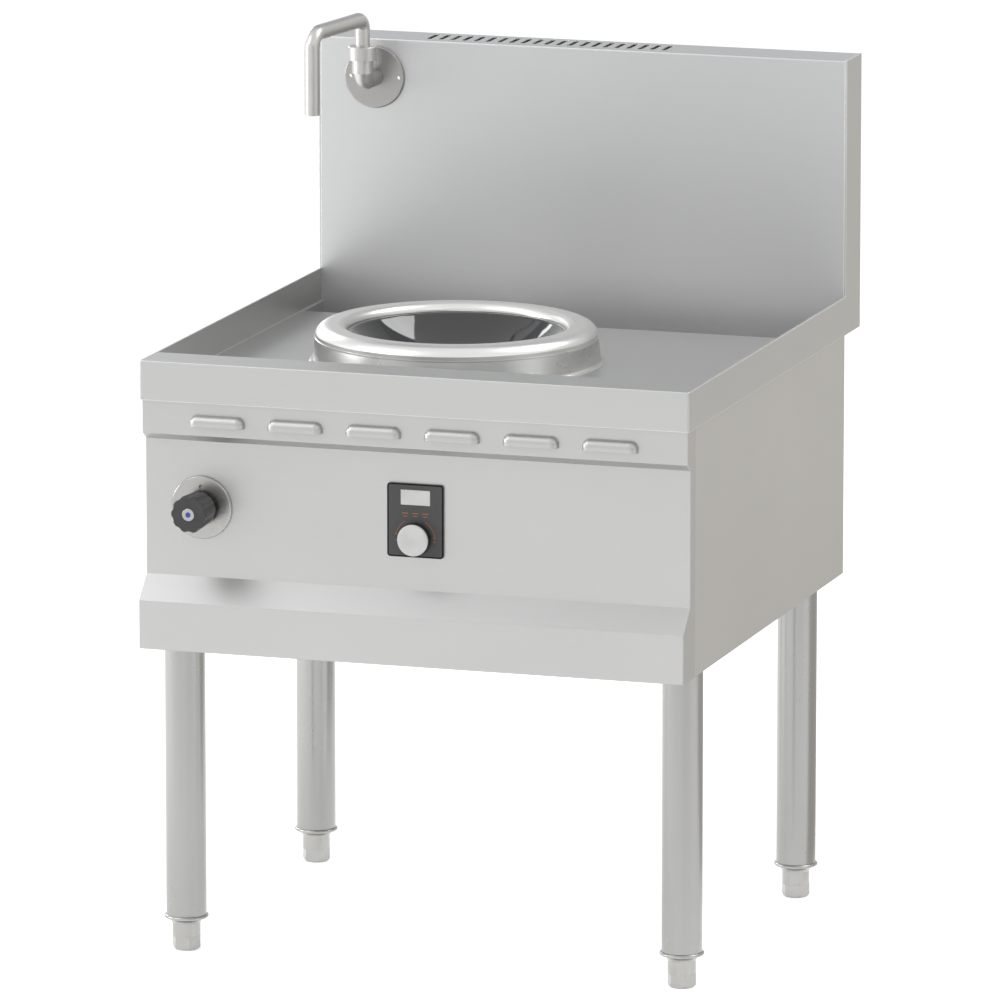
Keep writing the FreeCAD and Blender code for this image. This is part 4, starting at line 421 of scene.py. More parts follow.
moulded_edge = 0.0006
smooth = {"grain_scale": 3000.0, "depth": 1e-6}
wheel_plastic = moulded(
    "wheel_plastic", (0.066, 0.066, 0.068), 0.40, edge=moulded_edge, shine=0.25)
knob_plastic = moulded("knob_plastic", (0.022, 0.022, 0.023), 0.42)
bezel_plastic = moulded(
    "bezel_plastic", (0.058, 0.058, 0.059), 0.48, 2200.0, 4e-6, edge=moulded_edge)
# Near-black with almost no shine: painted shade for the band round the bezel.
bezel_shade_paint = moulded("bezel_shade_paint", (0.004, 0.004, 0.005), 0.5, shine=0.12)
fan_plastic = moulded("fan_plastic", (0.03, 0.03, 0.03), 0.5)
nylon = moulded("nylon", (0.16, 0.165, 0.17), 0.5)
silicone = moulded("silicone", (0.20, 0.20, 0.20), 0.6, 900.0)
mica = moulded("mica", (0.50, 0.43, 0.33), 0.7, 500.0, 3e-5)
ferrite = moulded("ferrite", (0.05, 0.05, 0.055), 0.55, 1200.0)
board_green = moulded("board_green", (0.02, 0.13, 0.06), 0.35, 2600.0, 5e-6, coat=0.4)
window_plastic = moulded("window_plastic", (0.68, 0.68, 0.67), 0.35, coat=0.2, **smooth)
knob_silver = moulded(
    "knob_silver", (0.68, 0.68, 0.67), 0.34, coat=0.3, edge=moulded_edge, **smooth)
blue_enamel = moulded("blue_enamel", (0.015, 0.03, 0.36), 0.3, coat=0.6, **smooth)
print_orange = moulded("print_orange", (0.36, 0.15, 0.04), 0.6, **smooth)

# %% [markdown]
# ## Black ceramic glass
# The bowl is glass ceramic, almost black and perfectly smooth. Under it everything is dark, so it
# is treated as a glossy black solid with faint wipe marks.

# %% Ceramic glass
def ceramic_glass(name):
    """Glossy black glass with wipe marks in its shine."""
    material, tree, shader = start_material(name, IOR=1.54, Coat_Weight=0.5, Coat_Roughness=0.02)
    coordinates = piece_coordinates(tree, centre=bowl_axis)
    marks = use_group(tree, handling_marks, {
        "Vector": coordinates, "Size": 14.0, "Low": 0.04, "High": 0.09})
    specks = add_node(tree, "ShaderNodeTexNoise", {
        "Vector": coordinates, "Scale": 1400.0, "Detail": 1.0})
    tone = tinted(tree, specks.outputs["Fac"], (0.016, 0.016, 0.016), (0.024, 0.024, 0.025))
    wire_up(tree, shader, tone, marks["Value"])
    return material


black_glass = ceramic_glass("black_glass")

# %% [markdown]
# ## Dressing the pieces
# Each node of the model gets the finish of the real piece. The table reads like a parts list.

# %% Finishes by piece
finish_of = {
    "worktop": deck_steel, "splashback": back_steel, "front_fascia": front_steel,
    "side_panel_left": side_steel, "side_panel_right": side_steel,
    "exhaust_duct": zinc, "rear_panel": zinc, "bottom_panel": zinc, "underframe": zinc,
    "generator_module": zinc, "rear_panel_screws": turned_metal,
    "wok_collar": collar_steel, "trim_ring": ring_steel, "glass_bowl": black_glass,
    "bowl_seal": silicone, "induction_coil": copper, "coil_carrier": mica,
    "carrier_studs": brass, "ferrite_bars": ferrite, "temperature_sensor": turned_metal,
    "fan_housing": fan_plastic, "fan_rotor": fan_plastic,
    "drain_outlet": turned_metal, "drain_strainer": turned_metal,
    "tap_flange": flange_chrome, "tap_elbow": tap_chrome, "spout_nut": tap_chrome,
    "spout": tap_chrome, "valve_rose": foot_chrome,
    "valve_body": brass, "valve_spindle": brass, "water_inlet": brass,
    "riser_pipe": copper, "inlet_pipe": copper, "cable_gland": nylon,
    "handwheel": wheel_plastic, "handwheel_cap": cap_chrome, "cold_marker": blue_enamel,
    "control_bezel": bezel_plastic, "display_lens": window_plastic, "control_board": board_green,
    "knob_encoder": fan_plastic, "power_knob": knob_plastic, "knob_cap": knob_silver,
    "knob_shaft": turned_metal,
}
corners = ("front_left", "front_right", "rear_left", "rear_right")
for corner in corners:
    finish_of["leg_" + corner] = leg_steel
    finish_of["foot_" + corner] = foot_chrome

for name, node in nodes.items():
    for slot in node.material_slots:
        slot.material = finish_of[name]
print("pieces dressed:", len(nodes))

# %% [markdown]
# ## Growing a piece from a tree
# What repeats, or follows a rule, is made by Geometry Nodes. The helper below puts a tree on an
# empty mesh, sets its named inputs, takes the result as a plain mesh and says which body it rides
# on. Every tree ends in the same two nodes, which turn instances into real faces and paint them.

# %% Growing helpers
def start_tree(name, inputs):
    """A geometry tree that gives out one mesh, with a finish among its named inputs."""
    return start_group(
        "GeometryNodeTree", name, inputs + [("Finish", FINISH, None)], [("Geometry", MESH)])


def end_tree(tree, geometry, given, result):
    """Real faces instead of instances, in the chosen finish."""
    real = add_node(tree, "GeometryNodeRealizeInstances", {"Geometry": geometry})
    painted = add_node(tree, "GeometryNodeSetMaterial", {
        "Geometry": real.outputs["Geometry"], "Material": given["Finish"]})
    tree.links.new(painted.outputs["Geometry"], result["Geometry"])
    return tree


def grow(name, tree, values, body="range"):
    """A piece on a body, made by a tree with these values."""
    piece = bpy.data.objects.new(name, bpy.data.meshes.new(name))
    bpy.context.scene.collection.objects.link(piece)
    modifier = piece.modifiers.new(name, "NODES")
    modifier.node_group = tree
    for item in tree.interface.items_tree:
        if item.in_out == "INPUT" and item.name in values:
            modifier[item.identifier] = values[item.name]
    graph = bpy.context.evaluated_depsgraph_get()
    made = bpy.data.meshes.new_from_object(piece.evaluated_get(graph), depsgraph=graph)
    piece.modifiers.remove(modifier)
    piece.data = made
    made.name = name
    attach(piece, body)
    print(name, "faces:", len(made.polygons))
    return piece


def middle_of(node):
    """The middle of a model node's box."""
    low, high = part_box(node)
    return (Vector(low) + Vector(high)) / 2


def size_of(node):
    """The size of a model node's box."""
    low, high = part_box(node)
    return Vector(high) - Vector(low)


# %% [markdown]
# ## The wound coil
# The work coil is litz wire, wound in one flat spiral and pressed into the dish of its carrier. In
# the model it is one solid band. A spiral curve gives the turns. Each point then drops onto a
# sphere that shares the bowl's middle, half the band's thickness inside its lower face, and a round
# profile gives the wire its thickness.

# %% Coil tree
def make_coil_tree():
    """A spiral laid into a dish."""
    tree, given, result = start_tree("wound_coil", [
        ("Inner Radius", NUMBER, 0.03), ("Outer Radius", NUMBER, 0.12), ("Turns", NUMBER, 18.0),
        ("Dish Radius", NUMBER, 0.2), ("Wire Radius", NUMBER, 0.0022),
        ("Dish Middle", VECTOR, None)])
    spiral = add_node(tree, "GeometryNodeCurveSpiral", {
        "Resolution": 40, "Rotations": given["Turns"], "Start Radius": given["Inner Radius"],
        "End Radius": given["Outer Radius"], "Height": 0.0})
    place = add_node(tree, "GeometryNodeInputPosition").outputs[0]
    reach = add_node(tree, "ShaderNodeVectorMath", {0: place, 1: place}, operation="DOT_PRODUCT")
    square = do_math(tree, "MULTIPLY", given["Dish Radius"], given["Dish Radius"])
    left = do_math(tree, "SUBTRACT", square, reach.outputs["Value"])
    drop = do_math(tree, "MULTIPLY", do_math(tree, "SQRT", left), -1.0)
    down = add_node(tree, "ShaderNodeCombineXYZ", {"Z": drop})
    offset = add_node(tree, "ShaderNodeVectorMath", {
        0: down.outputs[0], 1: given["Dish Middle"]}, operation="ADD")
    dished = add_node(tree, "GeometryNodeSetPosition", {
        "Geometry": spiral.outputs["Curve"], "Offset": offset.outputs[0]})
    wire = add_node(tree, "GeometryNodeCurvePrimitiveCircle", {
        "Resolution": 8, "Radius": given["Wire Radius"]}, mode="RADIUS")
    wound = add_node(tree, "GeometryNodeCurveToMesh", {
        "Curve": dished.outputs["Geometry"], "Profile Curve": wire.outputs["Curve"],
        "Fill Caps": True})
    return end_tree(tree, wound.outputs["Mesh"], given, result)


# %% Wound coil
coil_low, coil_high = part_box("induction_coil")
coil_outer = (coil_high[0] - coil_low[0]) / 2
coil_inner = 0.030
band_radius = 0.20525
dish_radius = 0.20275
wire_radius = 0.0022
coil_turns = 17.5
sphere_height = coil_low[2] + math.sqrt(band_radius ** 2 - coil_inner ** 2)
wound_coil = grow("wound_coil", make_coil_tree(), {
    "Inner Radius": coil_inner + wire_radius, "Outer Radius": coil_outer - wire_radius,
    "Turns": coil_turns, "Dish Radius": dish_radius, "Wire Radius": wire_radius,
    "Dish Middle": (bowl_axis.x, bowl_axis.y, sphere_height), "Finish": copper})
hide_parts("induction_coil")

# %% [markdown]
# ## Rear panel screws
# The rear panel comes off for service, so its screws have a cross recess. The head starts as a
# cylinder with rings on its cap. The rings sink with the square of their distance, which makes the
# dome, and a Boolean cuts the cross. The head then stands on every point of a grid.

# %% Screw tree
def make_screw_tree():
    """Domed heads with a cross recess on a grid that stands upright."""
    dome_share, recess_length, recess_width = 0.8, 1.1, 0.24
    tree, given, result = start_tree("cross_recess_screws", [
        ("Head Radius", NUMBER, 0.004), ("Head Height", NUMBER, 0.0022),
        ("Columns", WHOLE, 2), ("Rows", WHOLE, 4), ("Width", NUMBER, 0.7),
        ("Height", NUMBER, 0.3), ("Middle", VECTOR, None)])
    blank = add_node(tree, "GeometryNodeMeshCylinder", {
        "Vertices": 24, "Side Segments": 1, "Fill Segments": 5, "Radius": given["Head Radius"],
        "Depth": given["Head Height"]})
    place = add_node(tree, "GeometryNodeInputPosition").outputs[0]
    parts = add_node(tree, "ShaderNodeSeparateXYZ", {"Vector": place}).outputs
    flat = add_node(tree, "ShaderNodeCombineXYZ", {"X": parts["X"], "Y": parts["Y"]})
    reach = add_node(tree, "ShaderNodeVectorMath", {0: flat.outputs[0]}, operation="LENGTH")
    share = do_math(tree, "DIVIDE", reach.outputs["Value"], given["Head Radius"])
    sink = do_math(tree, "MULTIPLY", do_math(tree, "POWER", share, 2.0), given["Head Height"])
    top = do_math(tree, "GREATER_THAN", parts["Z"], 0.0)
    sink = do_math(tree, "MULTIPLY", do_math(tree, "MULTIPLY", sink, top), -dome_share)
    offset = add_node(tree, "ShaderNodeCombineXYZ", {"Z": sink})
    dome = add_node(tree, "GeometryNodeSetPosition", {
        "Geometry": blank.outputs["Mesh"], "Offset": offset.outputs[0]})
    long_side = do_math(tree, "MULTIPLY", given["Head Radius"], recess_length)
    short_side = do_math(tree, "MULTIPLY", given["Head Radius"], recess_width)
    bars = []
    for x_side, y_side in ((long_side, short_side), (short_side, long_side)):
        size = add_node(tree, "ShaderNodeCombineXYZ", {
            "X": x_side, "Y": y_side, "Z": given["Head Height"]})
        bars.append(add_node(tree, "GeometryNodeMeshCube", {"Size": size.outputs[0]}))
    lift = add_node(tree, "ShaderNodeCombineXYZ", {"Z": given["Head Height"]})
    cut = add_node(tree, "GeometryNodeMeshBoolean", {"Mesh 1": dome.outputs["Geometry"]},
                   operation="DIFFERENCE", solver="EXACT")
    for bar in bars:
        raised = add_node(tree, "GeometryNodeTransform", {
            "Geometry": bar.outputs["Mesh"], "Translation": lift.outputs[0],
            "Scale": (1.0, 1.0, 1.1)})
        tree.links.new(raised.outputs["Geometry"], cut.inputs["Mesh 2"])
    grid = add_node(tree, "GeometryNodeMeshGrid", {
        "Size X": given["Width"], "Size Y": given["Height"], "Vertices X": given["Columns"],
        "Vertices Y": given["Rows"]})
    heads = add_node(tree, "GeometryNodeInstanceOnPoints", {
        "Points": grid.outputs["Mesh"], "Instance": cut.outputs["Mesh"],
        "Rotation": (math.pi, 0.0, 0.0)})
    upright = add_node(tree, "GeometryNodeTransform", {
        "Geometry": heads.outputs["Instances"], "Translation": given["Middle"],
        "Rotation": UPRIGHT})
    return end_tree(tree, upright.outputs["Geometry"], given, result)


# %% Rear panel screws
screw_span = size_of("rear_panel_screws")
head_radius = 0.004
head_height = screw_span.y
rear_screws = grow("cross_recess_screws", make_screw_tree(), {
    "Head Radius": head_radius, "Head Height": head_height, "Columns": 2, "Rows": 4,
    "Width": screw_span.x - 2 * head_radius, "Height": screw_span.z - 2 * head_radius,
    "Middle": tuple(middle_of("rear_panel_screws")), "Finish": turned_metal})
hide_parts("rear_panel_screws")

# %% [markdown]
# ## Crimp marks on the legs
# The socket for each foot is held in its tube by a row of small crimps, a thumb's width above the
# foot. A circle of points round each leg carries one small ball per crimp, sunk so that only a low
# dome shows.

# %% Crimp tree
def make_crimp_tree():
    """Low domes in a circle round four upright tubes."""
    tree, given, result = start_tree("leg_crimps", [
        ("Count", WHOLE, 5), ("Tube Radius", NUMBER, 0.0286), ("Ball Radius", NUMBER, 0.003),
        ("Proud", NUMBER, 0.0005), ("Width", NUMBER, 0.7), ("Depth", NUMBER, 0.5),
        ("Turn", NUMBER, 0.0), ("Middle", VECTOR, None)])
    feet = add_node(tree, "GeometryNodeMeshGrid", {
        "Size X": given["Width"], "Size Y": given["Depth"], "Vertices X": 2, "Vertices Y": 2})
    sunk = do_math(tree, "SUBTRACT", given["Ball Radius"], given["Proud"])
    circle = add_node(tree, "GeometryNodeMeshCircle", {
        "Vertices": given["Count"],
        "Radius": do_math(tree, "SUBTRACT", given["Tube Radius"], sunk)})
    turn = add_node(tree, "ShaderNodeCombineXYZ", {"Z": given["Turn"]})
    turned = add_node(tree, "GeometryNodeTransform", {
        "Geometry": circle.outputs["Mesh"], "Rotation": turn.outputs[0]})
    rows = add_node(tree, "GeometryNodeInstanceOnPoints", {
        "Points": feet.outputs["Mesh"], "Instance": turned.outputs["Geometry"]})
    spots = add_node(tree, "GeometryNodeRealizeInstances", {
        "Geometry": rows.outputs["Instances"]})
    ball = add_node(tree, "GeometryNodeMeshIcoSphere", {
        "Radius": given["Ball Radius"], "Subdivisions": 3})
    domes = add_node(tree, "GeometryNodeInstanceOnPoints", {
        "Points": spots.outputs["Geometry"], "Instance": ball.outputs["Mesh"]})
    placed = add_node(tree, "GeometryNodeTransform", {
        "Geometry": domes.outputs["Instances"], "Translation": given["Middle"]})
    return end_tree(tree, placed.outputs["Geometry"], given, result)


# %% Leg crimps
leg_places = [middle_of("leg_" + corner) for corner in corners]
leg_middle = sum(leg_places, Vector()) / len(corners)
crimp_height = 0.069
crimp_count = 5
crimp_ball = 0.003
crimp_proud = 0.0004
crimp_turn = math.radians(-46)
grow("leg_crimps", make_crimp_tree(), {
    "Count": crimp_count, "Tube Radius": size_of("leg_front_left").x / 2,
    "Ball Radius": crimp_ball, "Proud": crimp_proud,
    "Width": leg_places[1].x - leg_places[0].x, "Depth": leg_places[2].y - leg_places[0].y,
    "Turn": crimp_turn, "Middle": (leg_middle.x, leg_middle.y, crimp_height),
    "Finish": leg_steel})

# %% [markdown]
# ## Print on the bezel
# The dial's print is a thin layer of orange ink: an arrow each way round the knob, a minus and a
# plus beside the knob, and two rows of short bars above it. A small group makes an arrow and
# another makes a row of bars; the main tree joins them and stands the print upright on the bezel.

# %% Arrow group
def make_arrow_group():
    """A flat arc with a three-cornered head near its end."""
    head_share = 1.9
    group, given, result = start_group(
        "GeometryNodeTree", "print_arrow",
        [("Radius", NUMBER, 0.028), ("Start", NUMBER, 0.0), ("Sweep", NUMBER, 0.8),
         ("Head At", NUMBER, 0.0), ("Head Turn", NUMBER, 0.0), ("Line Width", NUMBER, 0.0009),
         ("Thickness", NUMBER, 0.0001)],
        [("Geometry", MESH)])
    arc = add_node(group, "GeometryNodeCurveArc", {
        "Resolution": 24, "Radius": given["Radius"], "Start Angle": given["Start"],
        "Sweep Angle": given["Sweep"]}, mode="RADIUS")
    pen = add_node(group, "GeometryNodeCurvePrimitiveCircle", {
        "Resolution": 8, "Radius": do_math(group, "MULTIPLY", given["Line Width"], 0.5)},
        mode="RADIUS")
    line = add_node(group, "GeometryNodeCurveToMesh", {
        "Curve": arc.outputs["Curve"], "Profile Curve": pen.outputs["Curve"], "Fill Caps": True})
    flatness = do_math(group, "DIVIDE", given["Thickness"], given["Line Width"])
    squash = add_node(group, "ShaderNodeCombineXYZ", {"X": 1.0, "Y": 1.0, "Z": flatness})
    flat = add_node(group, "GeometryNodeTransform", {
        "Geometry": line.outputs["Mesh"], "Scale": squash.outputs[0]})
    head = add_node(group, "GeometryNodeMeshCylinder", {
        "Vertices": 3, "Radius": do_math(group, "MULTIPLY", given["Line Width"], head_share),
        "Depth": given["Thickness"]})
    turn = add_node(group, "ShaderNodeCombineXYZ", {"Z": given["Head Turn"]})
    across = do_math(group, "MULTIPLY", given["Radius"],
                     do_math(group, "COSINE", given["Head At"]))
    up = do_math(group, "MULTIPLY", given["Radius"], do_math(group, "SINE", given["Head At"]))
    place = add_node(group, "ShaderNodeCombineXYZ", {"X": across, "Y": up})
    tip = add_node(group, "GeometryNodeTransform", {
        "Geometry": head.outputs["Mesh"], "Rotation": turn.outputs[0],
        "Translation": place.outputs[0]})
    both = add_node(group, "GeometryNodeJoinGeometry")
    group.links.new(flat.outputs["Geometry"], both.inputs[0])
    group.links.new(tip.outputs["Geometry"], both.inputs[0])
    group.links.new(both.outputs[0], result["Geometry"])
    return group


# %% Bar group
def make_bar_group():
    """A row of equal flat bars round a middle."""
    group, given, result = start_group(
        "GeometryNodeTree", "print_bars",
        [("Count", WHOLE, 3), ("Pitch", NUMBER, 0.0146), ("Size", VECTOR, None),
         ("Middle", VECTOR, None)],
        [("Geometry", MESH)])
    gaps = do_math(group, "SUBTRACT", given["Count"], 1.0)
    back = do_math(group, "MULTIPLY", do_math(group, "MULTIPLY", gaps, given["Pitch"]), -0.5)
    start = add_node(group, "ShaderNodeCombineXYZ", {"X": back})
    step = add_node(group, "ShaderNodeCombineXYZ", {"X": given["Pitch"]})
    row = add_node(group, "GeometryNodeMeshLine", {
        "Count": given["Count"], "Start Location": start.outputs[0], "Offset": step.outputs[0]},
        mode="OFFSET")
    bar = add_node(group, "GeometryNodeMeshCube", {"Size": given["Size"]})
    bars = add_node(group, "GeometryNodeInstanceOnPoints", {
        "Points": row.outputs["Mesh"], "Instance": bar.outputs["Mesh"]})
    moved = add_node(group, "GeometryNodeTransform", {
        "Geometry": bars.outputs["Instances"], "Translation": given["Middle"]})
    group.links.new(moved.outputs["Geometry"], result["Geometry"])
    return group


# %% Print tree
BAR_PITCH = 0.0146
SIGN_REACH, SIGN_DROP, SIGN_LONG, SIGN_THIN = 0.0280, -0.0028, 0.0034, 0.0009

# Where each arc starts, how far it sweeps, where its head is, in degrees, and which way it points.
PRINT_ARROWS = ((122, 43, 168, 1), (8, 51, 5, -1))

# Count, width and height of the bars, then their middle across and up from the knob's axis.
PRINT_BARS = (
    (3, 0.0090, 0.0012, 0.0, 0.0359),
    (3, 0.0062, 0.0010, 0.0, 0.0318),
    (1, SIGN_LONG, SIGN_THIN, -SIGN_REACH, SIGN_DROP),
    (1, SIGN_LONG, SIGN_THIN, SIGN_REACH, SIGN_DROP),
    (1, SIGN_THIN, SIGN_LONG, SIGN_REACH, SIGN_DROP),
)


def make_print_tree(arrow, bars):
    """Both arrows, both signs and two rows of bars, upright on a face that looks along -Y."""
    tree, given, result = start_tree("dial_print", [
        ("Arc Radius", NUMBER, 0.028), ("Line Width", NUMBER, 0.0009),
        ("Thickness", NUMBER, 0.0001), ("Middle", VECTOR, None)])
    ink = add_node(tree, "GeometryNodeJoinGeometry")
    right_angle = math.pi / 2
    for start, sweep, head_at, turn in PRINT_ARROWS:
        head = math.radians(head_at)
        made = use_group(tree, arrow, {
            "Radius": given["Arc Radius"], "Start": math.radians(start),
            "Sweep": math.radians(sweep), "Head At": head,
            "Head Turn": head + turn * right_angle, "Line Width": given["Line Width"],
            "Thickness": given["Thickness"]}, "GeometryNodeGroup")
        tree.links.new(made["Geometry"], ink.inputs[0])
    for count, wide, high, x, y in PRINT_BARS:
        size = add_node(tree, "ShaderNodeCombineXYZ", {
            "X": wide, "Y": high, "Z": given["Thickness"]})
        made = use_group(tree, bars, {
            "Count": count, "Pitch": BAR_PITCH, "Size": size.outputs[0],
            "Middle": (x, y, 0.0)}, "GeometryNodeGroup")
        tree.links.new(made["Geometry"], ink.inputs[0])
    upright = add_node(tree, "GeometryNodeTransform", {
        "Geometry": ink.outputs[0], "Translation": given["Middle"], "Rotation": UPRIGHT})
    return end_tree(tree, upright.outputs["Geometry"], given, result)


# %% Print on the bezel
bezel_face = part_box("control_bezel")[0][1]
knob_middle = middle_of("power_knob")
ink_depth = 0.0001
arc_radius = 0.0285
line_width = 0.0010
grow("dial_print", make_print_tree(make_arrow_group(), make_bar_group()), {
    "Arc Radius": arc_radius, "Line Width": line_width, "Thickness": ink_depth,
    "Middle": (knob_middle.x, bezel_face - ink_depth / 2, knob_middle.z),
    "Finish": print_orange})

# %% [markdown]
# ## Painted shade round the bezel
# The moulded bezel's grey face has an edge that falls in shade and reads as a dark line round it. A
# near-black band is laid there as painted shade: a rectangle curve with rounded corners and a small
# flat profile follow that edge in one sweep.

# %% Bezel shade tree
def make_bezel_shade_tree():
    """A flat band round a rounded rectangle, upright on a face that looks along -Y."""
    tree, given, result = start_tree("bezel_shade_band", [
        ("Width", NUMBER, 0.05), ("Height", NUMBER, 0.07), ("Corner", NUMBER, 0.004),
        ("Band", NUMBER, 0.0014), ("Thickness", NUMBER, 0.0002), ("Middle", VECTOR, None)])
    edge = add_node(tree, "GeometryNodeCurvePrimitiveQuadrilateral", {
        "Width": given["Width"], "Height": given["Height"]}, mode="RECTANGLE")
    rounded = add_node(tree, "GeometryNodeFilletCurve", {
        "Curve": edge.outputs["Curve"], "Count": 6, "Radius": given["Corner"]}, mode="POLY")
    band = add_node(tree, "GeometryNodeCurvePrimitiveQuadrilateral", {
        "Width": given["Band"], "Height": given["Thickness"]}, mode="RECTANGLE")
    swept = add_node(tree, "GeometryNodeCurveToMesh", {
        "Curve": rounded.outputs["Curve"], "Profile Curve": band.outputs["Curve"]})
    upright = add_node(tree, "GeometryNodeTransform", {
        "Geometry": swept.outputs["Mesh"], "Translation": given["Middle"],
        "Rotation": UPRIGHT})
    return end_tree(tree, upright.outputs["Geometry"], given, result)


# %% Painted shade round the bezel
bezel_size = size_of("control_bezel")
bezel_middle = middle_of("control_bezel")
shade_band_width = 0.0020
shade_band_corner = 0.0035
shade_band_depth = 0.0003
grow("bezel_shade_band", make_bezel_shade_tree(), {
    "Width": bezel_size.x - shade_band_width, "Height": bezel_size.z - shade_band_width,
    "Corner": shade_band_corner, "Band": shade_band_width, "Thickness": shade_band_depth,
    "Middle": (bezel_middle.x, bezel_face, bezel_middle.z),
    "Finish": bezel_shade_paint})

# %% [markdown]
# ## Parts on the circuit board
# The bare board in the model stands for one with its parts. A grid of points covers its back.
# Points near the knob's axis are deleted, so that the encoder stays free, and a fixed seed picks
# the sizes at the others.

# %% Board tree
def make_board_tree():
    """Small blocks of random size on a grid, clear of a round place."""
    tree, given, result = start_tree("board_parts", [
        ("Width", NUMBER, 0.06), ("Height", NUMBER, 0.08), ("Columns", WHOLE, 6),
        ("Rows", WHOLE, 8), ("Seed", WHOLE, 7), ("Keep Clear", NUMBER, 0.014),
        ("Clear Middle", VECTOR, None), ("Smallest", VECTOR, None), ("Largest", VECTOR, None),
        ("Middle", VECTOR, None)])
    grid = add_node(tree, "GeometryNodeMeshGrid", {
        "Size X": given["Width"], "Size Y": given["Height"], "Vertices X": given["Columns"],
        "Vertices Y": given["Rows"]})
    place = add_node(tree, "GeometryNodeInputPosition").outputs[0]
    gap = add_node(tree, "ShaderNodeVectorMath", {0: place, 1: given["Clear Middle"]},
                   operation="DISTANCE")
    near = do_math(tree, "LESS_THAN", gap.outputs["Value"], given["Keep Clear"])
    free = add_node(tree, "GeometryNodeDeleteGeometry", {
        "Geometry": grid.outputs["Mesh"], "Selection": near}, domain="POINT")
    sizes = add_node(tree, "FunctionNodeRandomValue", {
        0: given["Smallest"], 1: given["Largest"], "Seed": given["Seed"]},
        data_type="FLOAT_VECTOR")
    block = add_node(tree, "GeometryNodeMeshCube", {"Size": (1.0, 1.0, 1.0)})
    half = add_node(tree, "GeometryNodeTransform", {
        "Geometry": block.outputs["Mesh"], "Translation": (0.0, 0.0, -0.5)})
    blocks = add_node(tree, "GeometryNodeInstanceOnPoints", {
        "Points": free.outputs["Geometry"], "Instance": half.outputs["Geometry"],
        "Scale": sizes.outputs[0]})
    upright = add_node(tree, "GeometryNodeTransform", {
        "Geometry": blocks.outputs["Instances"], "Translation": given["Middle"],
        "Rotation": UPRIGHT})
    return end_tree(tree, upright.outputs["Geometry"], given, result)


# %% Board parts
board_size = size_of("control_board")
board_middle = middle_of("control_board")
board_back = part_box("control_board")[1][1]
board_margin = 0.007
encoder_room = 0.016
smallest_part = (0.0025, 0.002, 0.0012)
largest_part = (0.008, 0.007, 0.005)
grow("board_parts", make_board_tree(), {
    "Width": board_size.x - 2 * board_margin, "Height": board_size.z - 2 * board_margin,
    "Columns": 6, "Rows": 8, "Seed": 7, "Keep Clear": encoder_room,
    "Clear Middle": (0.0, knob_middle.z - board_middle.z, 0.0),
    "Smallest": smallest_part, "Largest": largest_part,
    "Middle": (board_middle.x, board_back, board_middle.z),
    "Finish": fan_plastic})

# %% [markdown]
# ## Floor
# The floor is pale and dull, and it carries the shadow. To the camera, and in reflections, it adds
# a plain glow, so that it meets the white room without an edge. The glow lights nothing.

# %% Seen rays
def seen_directly(tree):
    """1 for camera, mirror and see-through rays, else 0."""
    rays = add_node(tree, "ShaderNodeLightPath").outputs
    seen = do_math(tree, "MAXIMUM", rays["Is Camera Ray"], rays["Is Glossy Ray"])
    return do_math(tree, "MAXIMUM", seen, rays["Is Transmission Ray"])


# %% Floor
def flat_sheet(name, width, depth):
    """A flat sheet round the origin, facing up."""
    x, y = width / 2, depth / 2
    mesh = bpy.data.meshes.new(name)
    mesh.from_pydata([(-x, -y, 0), (x, -y, 0), (x, y, 0), (-x, y, 0)], [], [(0, 1, 2, 3)])
    sheet = bpy.data.objects.new(name, mesh)
    bpy.context.scene.collection.objects.link(sheet)
    return sheet


def floor_paint(glow):
    """Pale paint that glows to the camera and in reflections."""
    material, tree, shader = start_material(
        "floor_paint", Base_Color=grey(0.9), Roughness=0.9, Specular_IOR_Level=0.0)
    strength = do_math(tree, "MULTIPLY", seen_directly(tree), glow)
    light = add_node(tree, "ShaderNodeEmission", {"Color": WHITE, "Strength": strength})
    both = add_node(tree, "ShaderNodeAddShader", {
        0: shader.outputs["BSDF"], 1: light.outputs["Emission"]})
    tree.links.new(both.outputs[0], tree.nodes["Material Output"].inputs["Surface"])
    return material


floor_side = 40
floor_glow = 0.55
floor = flat_sheet("studio_floor", floor_side, floor_side)
floor.data.materials.append(floor_paint(floor_glow))

# %% [markdown]
# ## Room, cards and lamps
# The room is white wherever the camera or a reflection sees it. Bare steel in a white room has no
# shape, so a photographer puts grey cards where the reflections should be darker: a large one high
# behind the range, one beside it and one on the floor at the back right, and one at the front
# right. Cards show in reflections only.

# %% Room
def make_room(ambient):
    """White where it is seen, and a plain grey light elsewhere."""
    world = bpy.data.worlds.new("white_room")
    bpy.context.scene.world = world
    world.use_nodes = True
    tree = world.node_tree
    strength = add_node(tree, "ShaderNodeMapRange", {
        "Value": seen_directly(tree), "To Min": ambient, "To Max": 1.0})
    background = tree.nodes["Background"]
    background.inputs["Color"].default_value = WHITE
    tree.links.new(strength.outputs["Result"], background.inputs["Strength"])


room_light = 0.55
make_room(room_light)


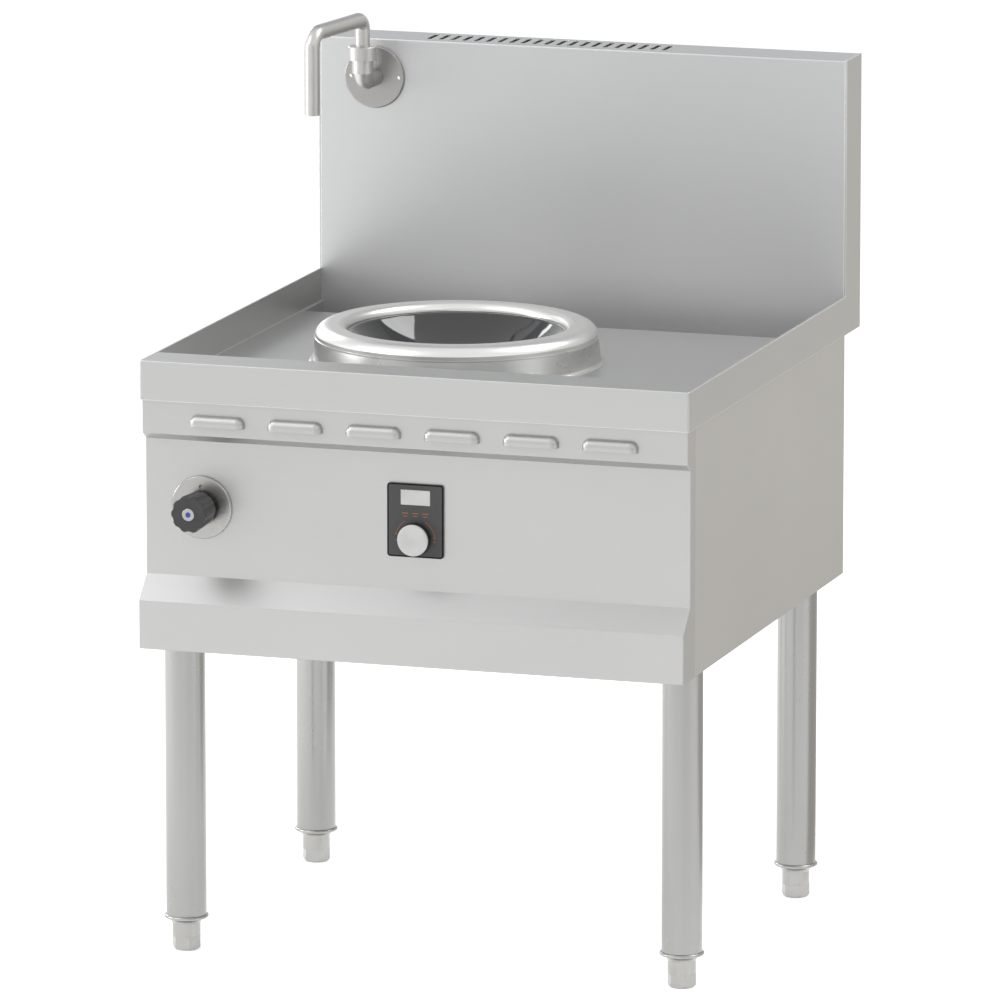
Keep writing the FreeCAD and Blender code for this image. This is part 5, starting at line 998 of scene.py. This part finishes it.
# %% Cards
def face_to(thing, place, target, axis):
    """Puts a thing at a place with one of its axes towards a target."""
    thing.location = place
    direction = Vector(target) - Vector(place)
    thing.rotation_euler = direction.to_track_quat(axis, "Y").to_euler()


def hang_card(name, place, target, width, height, colour):
    """A grey card that only reflections see."""
    card = flat_sheet(name, width, height)
    face_to(card, place, target, "Z")
    for kind in ("camera", "diffuse", "transmission", "volume_scatter", "shadow"):
        setattr(card, "visible_" + kind, False)
    paint = bpy.data.materials.new(name)
    paint.use_nodes = True
    tree = paint.node_tree
    tree.nodes.remove(tree.nodes["Principled BSDF"])
    glow = add_node(tree, "ShaderNodeEmission", {"Color": (*colour, 1.0), "Strength": 1.0})
    tree.links.new(glow.outputs["Emission"], tree.nodes["Material Output"].inputs["Surface"])
    card.data.materials.append(paint)


hang_card("ceiling_card", (0.0, 5.8, 4.5), (0.0, 5.8, 0.0), 14, 8, (0.46, 0.47, 0.49))
hang_card("side_card", (2.3, 2.2, 1.0), (0.4, 0.0, 0.7), 4.6, 3.6, (0.76, 0.74, 0.70))
hang_card("low_card", (1.7, 1.6, 0.01), (1.7, 1.6, 1.0), 2.4, 2.8, (0.70, 0.68, 0.64))
hang_card("front_card", (2.7, -3.3, 0.9), (0.0, -0.3, 0.5), 3.2, 3.2, (0.40, 0.40, 0.39))


# %% Lamps
def soft_box(name, place, target, size, power, colour=(1, 1, 1)):
    """A square area lamp at a place, turned to a target."""
    lamp = bpy.data.lights.new(name, "AREA")
    lamp.size = size
    lamp.energy = power
    lamp.color = colour
    box = bpy.data.objects.new(name, lamp)
    face_to(box, place, target, "-Z")
    bpy.context.scene.collection.objects.link(box)


range_middle = (0.0, 0.0, 0.7)
soft_box("key_box", (-2.3, -1.8, 3.4), range_middle, 2.0, 31, (0.97, 0.99, 1.0))
soft_box("left_box", (-3.2, -0.9, 1.2), range_middle, 1.0, 26)
soft_box("fill_box", (3.6, -4.0, 2.4), range_middle, 2.5, 26, (1.0, 0.99, 0.97))
soft_box("back_box", (-2.6, 2.4, 2.0), (-0.1, 0.0, 0.9), 1.4, 30)
soft_box("window_box", (2.1, 1.2, 3.8), range_middle, 1.7, 46)
